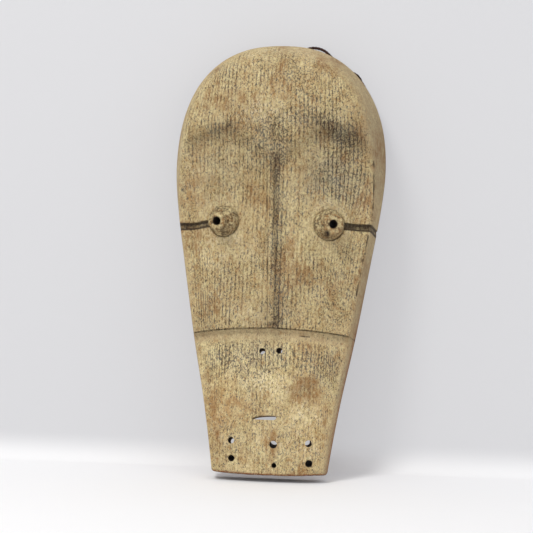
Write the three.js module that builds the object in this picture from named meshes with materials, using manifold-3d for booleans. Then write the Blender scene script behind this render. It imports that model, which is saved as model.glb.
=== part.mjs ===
// Carved wooden face mask: a hollow one-block carving with a domed forehead, a stepped chin panel,
// two tube eyes pressed into sockets, drilled nostrils, mouth slit and beard holes, and a hanging cord.
// Frame: +X to the viewer's right, +Y towards the wall, +Z up. The flat back rim lies in the plane y = 0
// and the origin is the middle of that rim's wall at the top of the mask. Millimetres.
import * as THREE from "three";
import { mergeVertices } from "three/addons/utils/BufferGeometryUtils.js";
import Module from "manifold-3d";

const wasm = await Module();
wasm.setup();

// ---- Driving dimensions ----------------------------------------------------------------------------

const HEIGHT = 515; // top of the dome to the middle of the chin edge
const WIDTH = 254; // widest part of the back rim
const CHIN_WIDTH = 135; // back rim at the chin
const DOME_HEIGHT = 148; // top of the dome to the widest row
const DOME_POWER = 2.3; // 2 is an ellipse, higher is squarer
const SIDE_BEND = 0.18; // share of the side that curves before it runs straight
const SIDE_HOLLOW = 0.3; // sides drawn in between the widest row and the chin
const CHIN_BOW = 2.6; // middle of the chin edge below its corners

const RIM_WALL = 12; // wall at the back rim
const SHELL = 13; // wall behind the face
const CHIN_WALL = 14; // solid wood at the chin edge
const CHIN_SCOOP = 26; // length over which the hollow runs out above the chin wall
const HOLLOW_FLARE = 0.25; // slope of the hollow's side wall against the outer one

const CHIN_DEPTH = 34; // face height above the rim plane at the chin edge
const LIP_DEPTH = 43; // chin panel just under the step
const STEP = 6; // cheeks proud of the chin panel
const NOSE_FOOT_RISE = 5; // nose ridge above the cheeks at its foot
const STEP_DROP = 348; // step below the top of the dome, on the centre line
const STEP_ARCH = 7; // ends of the step below its middle
const EYE_DEPTH = 64; // nose and brow line at eye height
const FOREHEAD_DEPTH = 86; // highest point of the forehead
const FOREHEAD_DROP = 87; // that point below the top of the dome
const DOME_RUN = 76; // run of the dome from its rim up to its full depth
const SIDE_SLOPE = 4; // rise of a side wall for each millimetre of flare, at the widest row
const CHIN_SLOPE = 7; // the same from the eyes down to the chin
const STEEP_RUN = 80; // the side walls steepen over this distance below the dome
const CROSS_DROP = 23; // face falls away from the centre line to the side, at the widest row
const CHIN_CROSS_DROP = 8; // the same at the chin
const CROSS_POWER = 2.3; // higher keeps the middle flatter and rounds the sides more
const WALL_ROUNDING = 16; // rounding between the face and the side wall, at the widest row
const CHIN_ROUNDING = 5; // the same at the chin
const HOLLOW_ROUNDING = 12; // rounding between the hollow's floor and its side wall
const SCOOP_ROUNDING = 6; // rounding where the hollow runs out at the chin
const DOME_FALL = 8; // the forehead's line falls this much from its highest point to the top of the dome
const BRIDGE_DROP = 50; // halfway down from the forehead to eye height, below the highest point
const EYE_DROP = 110; // eye height below the highest point of the forehead

const BROW_HOLLOW = 9; // eye sockets and cheeks below the brow and the nose ridge
const BROW_DROP = 117; // brow arcs below the top of the dome, at their highest
const BROW_REACH = 62; // highest point of a brow arc from the centre line
const BROW_SOFT = 22; // run of the slope under a brow
const BROW_INNER_DIP = 34; // brow arc at the nose below its highest point
const BROW_OUTER_DIP = 22; // brow arc at the temple below its highest point
const BROW_MARGIN = 6; // edge of the face that the brow's slope leaves whole
const HOLLOW_SINK = 60; // the hollow's floor starts to follow the eye sockets, below the top of the dome
const HOLLOW_SINK_RUN = 90; // length over which it does
const NOSE_HALF = 7; // half width of the nose ridge
const NOSE_CREST = 1; // half width of its flat crest
const NOSE_LEAN = 0.037; // the ridge leans to the viewer's left towards its top
const NOSE_FOOT = 1.6; // foot of the ridge from the centre line

const EYES = [
  { side: "left", x: -59, drop: 225, tip: 9.5, splay: -17, dip: 10 },
  { side: "right", x: 64, drop: 227, tip: 11.5, splay: 18, dip: 8 },
];
const EYE_BORE = 4.5; // radius of the sight hole
const EYE_BASE = 18; // radius of the cone's foot
const EYE_RISE = 20; // tip of the cone above the face
const EYE_SEAT = 5; // foot let into the face
const EYE_SHANK = 13; // radius of the shank through the wall
const EYE_REACH = 17; // end of the shank behind the face
const EYE_MOUND = 2.5; // face raised round an eye
const EYE_LAND = 1; // straight wall of the foot above the face
const EYE_FILLET = 3; // height over which the foot draws in to the cone
const EYE_LIP = 1.5; // rounded end of the tip
const FIT_GAP = 0.3; // clearance between pieces that touch

const GROOVE_HEIGHT = 8;
const GROOVE_DEPTH = 4;
const GROOVE_LAND = 1.2; // edge of the rim that a groove leaves whole
const GROOVES = [
  { side: -1, from: 73, drop: 230 },
  { side: 1, from: 80, drop: 228 },
];

const MOUTH = { x: -4.6, drop: 450, length: 28, height: 6.2 };
const BEARD_RISE = Math.tan(THREE.MathUtils.degToRad(18)); // lower holes climb into the hollow
const DRILLED = [
  { x: -9.1, drop: 374, radius: 3.5, rise: 0 },
  { x: 10.4, drop: 373, radius: 3.4, rise: 0 },
  { x: -42, drop: 476.5, radius: 3.7, rise: 0.03 },
  { x: 7, drop: 480, radius: 4.3, rise: 0.1 },
  { x: 47, drop: 477.5, radius: 3.9, rise: 0.03 },
  { x: -41, drop: 497, radius: 3.7, rise: BEARD_RISE },
  { x: 8.5, drop: 503.5, radius: 2.9, rise: BEARD_RISE },
  { x: 48, drop: 500, radius: 4.1, rise: BEARD_RISE },
];
const DRILL_SLANT = 0.0008; // outer holes slant towards the middle, for each millimetre off the centre

const CORD_DIAMETER = 3.4;
const CORD_SIDES = 8;
const CORD_STEP = 6; // length of one facet of the cord
const MOST_CORD_STEPS = 78;
const TUNNEL_CLEARANCE = 0.8; // round the cord in the slanted hole from the back of the rim to the hollow
const TUNNEL_OUT = { x: 97.5, y: 0, z: -54 }; // its mouth in the rim
const TUNNEL_IN = { x: 92.5, y: -17, z: -72 }; // its mouth in the hollow
const KNOT_RADIUS = 5;
const KNOT_LENGTH = 8;
const TIE_WALL = 1; // knot tied on the cord itself
const TIE_FROM = 0.8; // its place on the route, as shares of the cord's length
const TIE_TO = 0.85;

const DOME_SHARES = [0, 0.012, 0.04, 0.085, 0.14, 0.21, 0.3, 0.4, 0.5, 0.6, 0.7, 0.8, 0.9];
const CHEEK_ROWS = 12;
const STEP_RUN = 0.6; // half of the step's own width
const CHIN_ROWS = 8;
const SIDE_SHARES = [0.1, 0.21, 0.33, 0.46, 0.6, 0.72, 0.82, 0.895, 0.94, 0.97, 0.985, 1];
const SAG_REACH = 100; // rows bend to the step's arch within this distance of it
const HOLLOW_DOME_ROWS = 10;
const HOLLOW_ROWS = 30;
const HOLLOW_DOME_SHARE = 0.35; // part of the hollow's length that those first rows cover
const HOLLOW_COLUMNS = 9; // on each side of the middle
const CHIN_BEVEL = 1.2; // last row of the face under the edge's full height
const ROUND_SIDES = 20; // facets round a drilled hole or an eye
const PAST = 5; // a cutter reaches this far clear of the wood
const DRILL_REACH = 80; // a drilled hole's cutter behind the face
const DRILL_RELIEF = 12; // and in front of it
const SOCKET_RELIEF = 30; // an eye socket's cutter in front of the face

// ---- Outline and relief of the face ----------------------------------------------------------------

const top = RIM_WALL / 2; // z of the top of the dome
const levelOf = (drop) => top - drop;
const clamp01 = (t) => Math.min(1, Math.max(0, t));
const smooth = (t) => clamp01(t) ** 2 * (3 - 2 * clamp01(t));
const mix = (a, b, t) => a + (b - a) * t;

// A minimum of two heights with a rounding of the given size where they cross.
function softMin(a, b, size) {
  const overlap = Math.max(size - Math.abs(a - b), 0) / size;
  return Math.min(a, b) - (overlap * overlap * size) / 4;
}

// Half width of the outline, at a distance below the top of the dome.
function halfWidth(drop) {
  if (drop < DOME_HEIGHT) {
    const rise = (DOME_HEIGHT - drop) / DOME_HEIGHT;
    return (WIDTH / 2) * (1 - rise ** DOME_POWER) ** (1 / DOME_POWER);
  }
  const t = (drop - DOME_HEIGHT) / (HEIGHT - DOME_HEIGHT);
  const taper = ((1 + SIDE_BEND) * t * t) / (t + SIDE_BEND) + SIDE_HOLLOW * t * t * (1 - t);
  return mix(WIDTH / 2, CHIN_WIDTH / 2, taper);
}

// Distance from a point to the outline: along its radius in the dome, straight across below it.
function insideOutline(x, drop) {
  if (drop >= DOME_HEIGHT) {
    return halfWidth(drop) - Math.abs(x);
  }
  const across = Math.abs(x) / (WIDTH / 2);
  const rise = (DOME_HEIGHT - drop) / DOME_HEIGHT;
  const gauge = (across ** DOME_POWER + rise ** DOME_POWER) ** (1 / DOME_POWER);
  const radius = Math.hypot(x, DOME_HEIGHT - drop);
  return gauge > 1e-6 ? radius * (1 / gauge - 1) : WIDTH / 2;
}

// The step runs across the face as a shallow arch.
const stepDrop = (x) => STEP_DROP + STEP_ARCH * (x / halfWidth(STEP_DROP)) ** 2;

// Height of the centre line's face over the rim plane, before the eye sockets are carved.
const chinRun = new THREE.SplineCurve([
  new THREE.Vector2(STEP_DROP, LIP_DEPTH),
  new THREE.Vector2(mix(STEP_DROP, HEIGHT, 0.5), mix(LIP_DEPTH, CHIN_DEPTH, 0.42)),
  new THREE.Vector2(HEIGHT, CHIN_DEPTH),
]);
const faceRun = new THREE.SplineCurve([
  new THREE.Vector2(0, FOREHEAD_DEPTH - DOME_FALL),
  new THREE.Vector2(FOREHEAD_DROP / 2, FOREHEAD_DEPTH - DOME_FALL / 8),
  new THREE.Vector2(FOREHEAD_DROP, FOREHEAD_DEPTH),
  new THREE.Vector2(FOREHEAD_DROP + BRIDGE_DROP, mix(FOREHEAD_DEPTH, EYE_DEPTH, 0.5)),
  new THREE.Vector2(FOREHEAD_DROP + EYE_DROP, EYE_DEPTH),
  new THREE.Vector2(STEP_DROP, LIP_DEPTH + STEP + NOSE_FOOT_RISE),
]);

// Height of a run's curve at a distance below the top, by halving.
function heightOf(run, drop) {
  let low = 0;
  let high = 1;
  for (let turn = 0; turn < 24; turn += 1) {
    const middle = (low + high) / 2;
    if (run.getPoint(middle).x < drop) {
      low = middle;
    } else {
      high = middle;
    }
  }
  return run.getPoint(low).y;
}

// Brow arcs: the line under which the eye sockets are hollowed, dipping to the nose and the temples.
function browDrop(x) {
  const away = (Math.abs(x) - BROW_REACH) / BROW_REACH;
  return BROW_DROP + (away < 0 ? BROW_INNER_DIP : BROW_OUTER_DIP) * away * away;
}

const noseAxis = (drop) => NOSE_FOOT - NOSE_LEAN * (STEP_DROP - drop);

// Depth carved away beside the nose and under the brows.
function browHollow(x, drop) {
  const fromNose = Math.abs(x - noseAxis(drop));
  const beside = smooth((fromNose - NOSE_CREST) / NOSE_HALF);
  const under = smooth((drop - browDrop(x)) / BROW_SOFT);
  const low = smooth((drop - BROW_DROP) / (STEP_DROP - BROW_DROP));
  const depth = mix(BROW_HOLLOW, NOSE_FOOT_RISE, low);
  const shoulder = smooth((insideOutline(x, drop) - BROW_MARGIN) / BROW_SOFT);
  return depth * beside * under * mix(shoulder, 1, low);
}

function eyeMound(x, drop) {
  let raised = 0;
  for (const eye of EYES) {
    const away = Math.hypot(x - eye.x, drop - eye.drop);
    raised += EYE_MOUND * (1 - smooth((away - EYE_BASE) / EYE_BASE));
  }
  return raised;
}

// Share of the way from the widest row down to the chin.
const lowness = (drop) => clamp01((drop - DOME_HEIGHT) / (HEIGHT - DOME_HEIGHT));

// Share of the way from the widest row down to where the side walls are at their steepest.
const steepness = (drop) => smooth((drop - DOME_HEIGHT) / STEEP_RUN);

// Side wall: rises steeply from the rim below the dome and as a quarter ellipse at the top.
function wallDepth(inside, drop, slopeScale) {
  const slope = mix(SIDE_SLOPE, CHIN_SLOPE, steepness(drop)) * slopeScale;
  const straight = Math.max(inside, 0) * slope;
  if (drop >= DOME_HEIGHT) {
    return straight;
  }
  const run = clamp01(inside / DOME_RUN);
  const round = (FOREHEAD_DEPTH + 4) * Math.sqrt(1 - (1 - run) ** 2);
  const share = smooth((DOME_HEIGHT - drop) / DOME_HEIGHT);
  return mix(Math.min(straight, 2 * FOREHEAD_DEPTH), round, share);
}

// Height of the face over the rim plane without its carving: step 1 above the step, 0 below it.
function plainDepth(x, drop, step) {
  const ridge = heightOf(faceRun, Math.min(drop, STEP_DROP));
  const panel = heightOf(chinRun, Math.max(drop, STEP_DROP));
  const cross = mix(CROSS_DROP, CHIN_CROSS_DROP, lowness(drop));
  const share = Math.min(Math.abs(x) / Math.max(halfWidth(drop), 1), 1);
  return (step ? ridge : panel) - cross * share ** CROSS_POWER;
}

function frontDepth(x, drop, step) {
  const carved = step ? eyeMound(x, drop) - browHollow(x, drop) : 0;
  const face = plainDepth(x, drop, step) + carved;
  const wall = wallDepth(insideOutline(x, drop), drop, 1);
  const rounding = mix(WALL_ROUNDING, CHIN_ROUNDING, steepness(drop));
  return Math.max(0, softMin(face, wall, rounding));
}

function hollowDepth(x, drop) {
  const step = drop < STEP_DROP;
  const sink = step ? BROW_HOLLOW * smooth((drop - HOLLOW_SINK) / HOLLOW_SINK_RUN) : 0;
  const face = plainDepth(x, drop, step) - SHELL - sink;
  const floor = ((HEIGHT - CHIN_WALL - drop) / CHIN_SCOOP) * (CHIN_DEPTH - SHELL);
  const wall = wallDepth(insideOutline(x, drop) - RIM_WALL, drop, 1 - HOLLOW_FLARE);
  const round = softMin(face, wall, HOLLOW_ROUNDING);
  return Math.max(0, softMin(round, floor, SCOOP_ROUNDING));
}

// ---- Solids ----------------------------------------------------------------------------------------

// A three.js geometry as a manifold solid, with shared vertices and no slivers of zero area.
function solidFrom(geometry) {
  const bare = geometry.index ? geometry.toNonIndexed() : geometry.clone();
  bare.deleteAttribute("normal");
  bare.deleteAttribute("uv");
  const merged = mergeVertices(bare, 1e-4);
  const corners = [];
  for (let i = 0; i < merged.index.count; i += 3) {
    const [a, b, c] = [0, 1, 2].map((k) => merged.index.getX(i + k));
    if (a !== b && b !== c && c !== a) {
      corners.push(a, b, c);
    }
  }
  return new wasm.Manifold(
    new wasm.Mesh({
      numProp: 3,
      vertProperties: merged.attributes.position.array,
      triVerts: new Uint32Array(corners),
    }),
  );
}

function geometryFrom(solid) {
  const mesh = solid.getMesh();
  const geometry = new THREE.BufferGeometry();
  geometry.setAttribute("position", new THREE.BufferAttribute(mesh.vertProperties, 3));
  geometry.setIndex(new THREE.BufferAttribute(mesh.triVerts, 1));
  geometry.computeVertexNormals();
  return geometry;
}

// A block with a relief in front and a flat back: front and back hold the same grid of points.
function reliefBlock(front, back) {
  const rows = front.length;
  const columns = front[0].length;
  const points = [...front.flat(), ...back.flat()];
  const at = (layer, i, j) => layer * rows * columns + i * columns + j;
  const corners = [];
  const quad = (a, b, c, d) => corners.push(a, b, c, a, c, d);
  for (let i = 0; i + 1 < rows; i += 1) {
    for (let j = 0; j + 1 < columns; j += 1) {
      quad(at(0, i, j), at(0, i + 1, j), at(0, i + 1, j + 1), at(0, i, j + 1));
      quad(at(1, i, j), at(1, i, j + 1), at(1, i + 1, j + 1), at(1, i + 1, j));
    }
    const end = columns - 1;
    quad(at(0, i, 0), at(1, i, 0), at(1, i + 1, 0), at(0, i + 1, 0));
    quad(at(0, i, end), at(0, i + 1, end), at(1, i + 1, end), at(1, i, end));
  }
  for (let j = 0; j + 1 < columns; j += 1) {
    const end = rows - 1;
    quad(at(0, 0, j), at(0, 0, j + 1), at(1, 0, j + 1), at(1, 0, j));
    quad(at(0, end, j), at(1, end, j), at(1, end, j + 1), at(0, end, j + 1));
  }
  const geometry = new THREE.BufferGeometry().setFromPoints(points);
  geometry.setIndex(corners);
  return solidFrom(geometry);
}

// Rows below the top of the dome, close together where the dome rises and at the step.
function rowDrops() {
  const drops = DOME_SHARES.map((share) => share * DOME_HEIGHT);
  for (let k = 0; k < CHEEK_ROWS; k += 1) {
    drops.push(mix(DOME_HEIGHT, STEP_DROP, k / CHEEK_ROWS));
  }
  drops.push(STEP_DROP - STEP_RUN, STEP_DROP + STEP_RUN);
  for (let k = 1; k <= CHIN_ROWS; k += 1) {
    drops.push(mix(STEP_DROP, HEIGHT - CHIN_ROUNDING, k / CHIN_ROWS));
  }
  drops.push(HEIGHT - CHIN_ROUNDING / 3, HEIGHT);
  return drops;
}

// Positions across one row: the nose ridge at its true width, then shares of what is left.
function acrossRow(half, middle) {
  const ridge = Math.min(1, half / (3 * NOSE_HALF));
  const crest = middle * ridge;
  const foot = (NOSE_HALF + NOSE_CREST) * ridge;
  const left = SIDE_SHARES.map((share) => mix(crest - foot, -half, share)).reverse();
  const right = SIDE_SHARES.map((share) => mix(crest + foot, half, share));
  const inner = [-foot, -foot / 2, 0, foot / 2, foot].map((x) => crest + x);
  return [...left, ...inner, ...right];
}

// Rows sag with the step's arch near it, and with the bowed chin edge at the bottom.
function rowSag(drop, x) {
  const share = Math.min(Math.abs(x) / Math.max(halfWidth(drop), 1), 1) ** 2;
  const nearStep = 1 - smooth(Math.abs(drop - STEP_DROP) / SAG_REACH);
  const nearChin = smooth((drop - STEP_DROP) / (HEIGHT - STEP_DROP));
  return share * (STEP_ARCH * nearStep - CHIN_BOW * nearChin);
}

function maskOuter() {
  const front = [];
  const back = [];
  for (const drop of rowDrops()) {
    const xs = acrossRow(halfWidth(drop), noseAxis(drop));
    const bevel = drop === HEIGHT ? CHIN_BEVEL : 0;
    const place = (x, depth) => new THREE.Vector3(x, -depth, levelOf(drop + rowSag(drop, x)));
    front.push(xs.map((x) => place(x, Math.max(0, frontDepth(x, drop, drop < STEP_DROP) - bevel))));
    back.push(xs.map((x) => place(x, 0)));
  }
  return reliefBlock(front, back);
}

function maskHollow() {
  const front = [];
  const back = [];
  for (let i = 0; i <= HOLLOW_ROWS; i += 1) {
    const dome = HOLLOW_DOME_SHARE * (i / HOLLOW_DOME_ROWS) ** 1.6;
    const below = (i - HOLLOW_DOME_ROWS) / (HOLLOW_ROWS - HOLLOW_DOME_ROWS);
    const share = i < HOLLOW_DOME_ROWS ? dome : mix(HOLLOW_DOME_SHARE, 1, below);
    const drop = mix(RIM_WALL, HEIGHT - CHIN_WALL, share);
    const half = Math.max(halfWidth(drop) - wallAcross(drop), 0);
    const xs = [];
    for (let j = -HOLLOW_COLUMNS; j <= HOLLOW_COLUMNS; j += 1) {
      xs.push(half * Math.sin((j / HOLLOW_COLUMNS) * (Math.PI / 2)));
    }
    front.push(xs.map((x) => new THREE.Vector3(x, -hollowDepth(x, drop), levelOf(drop))));
    back.push(xs.map((x) => new THREE.Vector3(x, PAST, levelOf(drop))));
  }
  return reliefBlock(front, back);
}

// Rim wall measured straight across a row, which is longer than the wall where the dome closes.
function wallAcross(drop) {
  if (drop >= DOME_HEIGHT) {
    return RIM_WALL;
  }
  let low = 0;
  let high = halfWidth(drop);
  for (let turn = 0; turn < 20; turn += 1) {
    const middle = (low + high) / 2;
    if (insideOutline(middle, drop) > RIM_WALL) {
      low = middle;
    } else {
      high = middle;
    }
  }
  return halfWidth(drop) - low;
}

// A lathe turned about an axis that starts at a point and runs along a direction.
function turned(profile, point, direction, sides) {
  const geometry = new THREE.LatheGeometry(
    profile.map(([radius, along]) => new THREE.Vector2(radius, along)),
    sides,
  );
  const turn = new THREE.Quaternion().setFromUnitVectors(new THREE.Vector3(0, 1, 0), direction);
  geometry.applyQuaternion(turn);
  geometry.translate(point.x, point.y, point.z);
  return geometry;
}

const rod = (radius, from, to) => [
  [0, from],
  [radius, from],
  [radius, to],
  [0, to],
];

function facePoint(x, drop) {
  return new THREE.Vector3(x, -frontDepth(x, drop, drop < stepDrop(x)), levelOf(drop));
}

// A hole drilled from the front: its outward direction leans to its own side and down.
function drilledHole(hole) {
  const outward = new THREE.Vector3(hole.x * DRILL_SLANT, -1, -hole.rise).normalize();
  const profile = rod(hole.radius, -DRILL_REACH, DRILL_RELIEF);
  return solidFrom(turned(profile, facePoint(hole.x, hole.drop), outward, ROUND_SIDES));
}

// The mouth: a slit pointed at the viewer's left end and square at the right.
function mouthSlit() {
  const { x, drop, length, height } = MOUTH;
  const half = height / 2;
  const shape = new THREE.Shape();
  shape.moveTo(x - length / 2, levelOf(drop) - half / 2);
  shape.quadraticCurveTo(x - length / 4, levelOf(drop) + half, x + length / 2, levelOf(drop) + half);
  shape.lineTo(x + length / 2, levelOf(drop) - half);
  shape.lineTo(x - length / 3, levelOf(drop) - half);
  shape.closePath();
  const through = { depth: FOREHEAD_DEPTH, bevelEnabled: false, curveSegments: 5 };
  const geometry = new THREE.ExtrudeGeometry(shape, through);
  return solidFrom(geometry.rotateX(Math.PI / 2));
}

// A groove from an eye to the edge of the mask, at one depth under the face all the way.
function grooveCutter(groove) {
  const far = WIDTH / 2 + PAST;
  const outside = FOREHEAD_DEPTH + PAST;
  const steps = 8;
  const shape = new THREE.Shape();
  shape.moveTo(groove.side * groove.from, -outside);
  for (let k = 0; k <= steps; k += 1) {
    const x = mix(groove.from, halfWidth(groove.drop) - GROOVE_LAND, k / steps) * groove.side;
    const depth = Math.max(frontDepth(x, groove.drop, 1) - GROOVE_DEPTH, 0);
    shape.lineTo(x, -depth);
  }
  shape.lineTo(groove.side * far, 0);
  shape.lineTo(groove.side * far, -outside);
  shape.closePath();
  const geometry = new THREE.ExtrudeGeometry(shape, { depth: GROOVE_HEIGHT, bevelEnabled: false });
  geometry.translate(0, 0, levelOf(groove.drop) - GROOVE_HEIGHT / 2);
  return solidFrom(geometry);
}

function eyeDirection(eye) {
  const splay = Math.tan(THREE.MathUtils.degToRad(eye.splay));
  const dip = Math.tan(THREE.MathUtils.degToRad(eye.dip));
  return new THREE.Vector3(splay, -1, -dip).normalize();
}

// Profile of an eye tube from its shank behind the face out to its tip and back through its bore.
function eyeProfile(eye) {
  return [
    [EYE_SHANK, -EYE_REACH],
    [EYE_SHANK, -EYE_SEAT],
    [EYE_BASE, -EYE_SEAT],
    [EYE_BASE, EYE_LAND],
    [EYE_BASE * 0.9, EYE_LAND + EYE_FILLET],
    [mix(EYE_BASE, eye.tip, 0.72), EYE_RISE * 0.6],
    [eye.tip + EYE_LIP / 2, EYE_RISE - EYE_LIP],
    [eye.tip - EYE_LIP / 2, EYE_RISE],
    [EYE_BORE, EYE_RISE],
    [EYE_BORE, -EYE_REACH],
    [EYE_SHANK, -EYE_REACH],
  ];
}

// Socket of an eye tube: a seat for its foot in the face and a bore for its shank through the wall.
function socketProfile() {
  const seat = -EYE_SEAT - FIT_GAP;
  const behind = -2 * EYE_REACH;
  return [
    [0, behind],
    [EYE_SHANK + FIT_GAP, behind],
    [EYE_SHANK + FIT_GAP, seat],
    [EYE_BASE + FIT_GAP, seat],
    [EYE_BASE + FIT_GAP, SOCKET_RELIEF],
    [0, SOCKET_RELIEF],
  ];
}

const eyeFoot = (eye) => facePoint(eye.x, eye.drop);

const mirrored = (place, side) => new THREE.Vector3(side * place.x, place.y, place.z);

// Cord tunnel: slants from the middle of the rim's back face down into the hollow.
function cordTunnel(side) {
  const out = mirrored(TUNNEL_OUT, side);
  const run = mirrored(TUNNEL_IN, side).sub(out);
  const reach = run.length();
  const profile = rod(CORD_DIAMETER / 2 + TUNNEL_CLEARANCE, -reach / 2, reach * 1.5);
  return solidFrom(turned(profile, out, run.normalize(), ROUND_SIDES / 2));
}

function maskBody() {
  let body = maskOuter().subtract(maskHollow());
  for (const hole of DRILLED) {
    body = body.subtract(drilledHole(hole));
  }
  body = body.subtract(mouthSlit());
  for (const groove of GROOVES) {
    body = body.subtract(grooveCutter(groove));
  }
  for (const eye of EYES) {
    const socket = turned(socketProfile(), eyeFoot(eye), eyeDirection(eye), ROUND_SIDES);
    body = body.subtract(solidFrom(socket));
  }
  return body.subtract(cordTunnel(-1)).subtract(cordTunnel(1));
}

// ---- Cord ------------------------------------------------------------------------------------------

// Route of the cord: out of the left tunnel, a loose sag across the hollow, over the back of the rim
// at the upper right, a low arch above the edge, down along the edge and into the right tunnel.
const cordPoints = [
  [-92.5, -17, -72],
  [-97.5, 0, -54],
  [-98.4, 3.2, -50.6],
  [-96.8, 4.8, -46],
  [-91, 4.6, -42],
  [-82, 3.6, -41],
  [-69, 1.5, -46],
  [-50, -1, -55],
  [-28, -2, -58],
  [-8, -1, -51],
  [8, 1.4, -31],
  [13, 3.2, -12],
  [19.5, 4, 4],
  [28, 4, 9.8],
  [38, 4, 11],
  [48.5, 4, 7.6],
  [60, 4, -2.8],
  [70, 4, -11],
  [80.4, 4, -18.3],
  [89.8, 4, -26.1],
  [97.2, 4.6, -35.2],
  [101, 4.9, -44.5],
  [98.9, 3.2, -50.6],
  [97.5, 0, -54],
  [92.5, -17, -72],
].map(([x, y, z]) => new THREE.Vector3(x, y, z));

const cordRoute = new THREE.CatmullRomCurve3(cordPoints, false, "centripetal");

function roundShape(radius, sides) {
  const shape = new THREE.Shape();
  for (let k = 0; k < sides; k += 1) {
    const angle = (2 * Math.PI * k) / sides;
    const point = [radius * Math.cos(angle), radius * Math.sin(angle)];
    if (k === 0) {
      shape.moveTo(...point);
    } else {
      shape.lineTo(...point);
    }
  }
  shape.closePath();
  return shape;
}

function hangingCord() {
  const steps = Math.min(MOST_CORD_STEPS, Math.ceil(cordRoute.getLength() / CORD_STEP));
  return new THREE.ExtrudeGeometry(roundShape(CORD_DIAMETER / 2, CORD_SIDES), {
    steps,
    bevelEnabled: false,
    extrudePath: cordRoute,
  });
}

// A stopper knot in the hollow, at the end of the cord.
function stopperKnot(side) {
  const half = KNOT_LENGTH / 2;
  const profile = [
    [0, -half],
    [KNOT_RADIUS * 0.6, -half],
    [KNOT_RADIUS, -half * 0.4],
    [KNOT_RADIUS, half * 0.4],
    [KNOT_RADIUS * 0.6, half],
    [0, half],
  ];
  const end = mirrored(TUNNEL_IN, side);
  const along = end.clone().sub(mirrored(TUNNEL_OUT, side)).normalize();
  const centre = end.addScaledVector(along, half + FIT_GAP);
  return turned(profile, centre, along, 10);
}

// The knot tied on the cord: a sleeve that follows the cord's route over a short stretch.
function tieKnot() {
  const stretch = [];
  for (let k = 0; k <= 4; k += 1) {
    stretch.push(cordRoute.getPointAt(mix(TIE_FROM, TIE_TO, k / 4)));
  }
  const inside = CORD_DIAMETER / 2 + 2 * FIT_GAP;
  const shape = roundShape(inside + TIE_WALL, CORD_SIDES);
  shape.holes.push(roundShape(inside, CORD_SIDES));
  return new THREE.ExtrudeGeometry(shape, {
    steps: 4,
    bevelEnabled: false,
    extrudePath: new THREE.CatmullRomCurve3(stretch),
  });
}

// ---- Materials and assembly ------------------------------------------------------------------------

const chalkedWood = new THREE.MeshStandardMaterial({ color: 0xb79f76, roughness: 0.9, metalness: 0 });
const darkCord = new THREE.MeshStandardMaterial({ color: 0x35231c, roughness: 0.85, metalness: 0 });

const mask = new THREE.Group();

function addPiece(name, geometry, material) {
  const mesh = new THREE.Mesh(geometry, material.clone());
  mesh.name = name;
  mask.add(mesh);
}

addPiece("mask_body", geometryFrom(maskBody()), chalkedWood);
for (const eye of EYES) {
  const tube = turned(eyeProfile(eye), eyeFoot(eye), eyeDirection(eye), ROUND_SIDES);
  addPiece(`eye_tube_${eye.side}`, geometryFrom(solidFrom(tube)), chalkedWood);
}
addPiece("hanging_cord", hangingCord(), darkCord);
addPiece("cord_knot_left", stopperKnot(-1), darkCord);
addPiece("cord_knot_right", stopperKnot(1), darkCord);
addPiece("cord_tie_knot", tieKnot(), darkCord);

export default mask;
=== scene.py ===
"""Looks of the carved wooden mask: a finely chiselled mask body with chalky pigment, two tube eyes, a
twisted hanging cord with its knots, a pale floor, soft studio light and the camera. Lengths below are in
millimetres and become metres where a mesh is made."""
import math

import bpy
import numpy as np
from mathutils import Matrix, Vector


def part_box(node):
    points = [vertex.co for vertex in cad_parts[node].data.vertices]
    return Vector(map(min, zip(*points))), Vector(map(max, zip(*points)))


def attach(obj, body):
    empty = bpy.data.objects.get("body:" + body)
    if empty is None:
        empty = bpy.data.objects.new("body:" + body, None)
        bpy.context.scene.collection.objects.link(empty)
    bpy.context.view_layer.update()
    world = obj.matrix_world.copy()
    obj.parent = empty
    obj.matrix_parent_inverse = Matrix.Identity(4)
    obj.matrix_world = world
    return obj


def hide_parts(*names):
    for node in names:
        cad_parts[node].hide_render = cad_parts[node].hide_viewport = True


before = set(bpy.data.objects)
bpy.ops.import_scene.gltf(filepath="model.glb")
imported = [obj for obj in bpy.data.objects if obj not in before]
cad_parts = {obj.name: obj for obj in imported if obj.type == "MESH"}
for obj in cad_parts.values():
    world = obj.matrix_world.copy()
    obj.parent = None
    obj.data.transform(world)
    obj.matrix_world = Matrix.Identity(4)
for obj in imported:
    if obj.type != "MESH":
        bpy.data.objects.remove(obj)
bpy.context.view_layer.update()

MM = 0.001

# ---- Driving dimensions, the same as the solid model's ----

body_low, body_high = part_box("mask_body")
WIDTH = (body_high.x - body_low.x) / MM
TOP = body_high.z / MM  # z of the top of the dome
HEIGHT = TOP - body_low.z / MM
CHIN_WIDTH = 135
DOME_HEIGHT = 148
DOME_POWER = 2.3
SIDE_BEND = 0.18
SIDE_HOLLOW = 0.3
CHIN_BOW = 2.6

RIM_WALL = 12
SHELL = 13
CHIN_WALL = 14
CHIN_SCOOP = 26
HOLLOW_FLARE = 0.25

CHIN_DEPTH = 34
LIP_DEPTH = 43
STEP = 6
NOSE_FOOT_RISE = 5
STEP_DROP = 348
STEP_ARCH = 7
EYE_DEPTH = 64
FOREHEAD_DEPTH = 86
FOREHEAD_DROP = 87
DOME_RUN = 76
SIDE_SLOPE = 4
STEEP_RUN = 80
CHIN_SLOPE = 7
CROSS_DROP = 23
CHIN_CROSS_DROP = 8
CROSS_POWER = 2.3
WALL_ROUNDING = 16
CHIN_ROUNDING = 5
HOLLOW_ROUNDING = 12
SCOOP_ROUNDING = 6
HOLLOW_SINK = 60
HOLLOW_RUN = 90
SAG_REACH = 100

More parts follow.
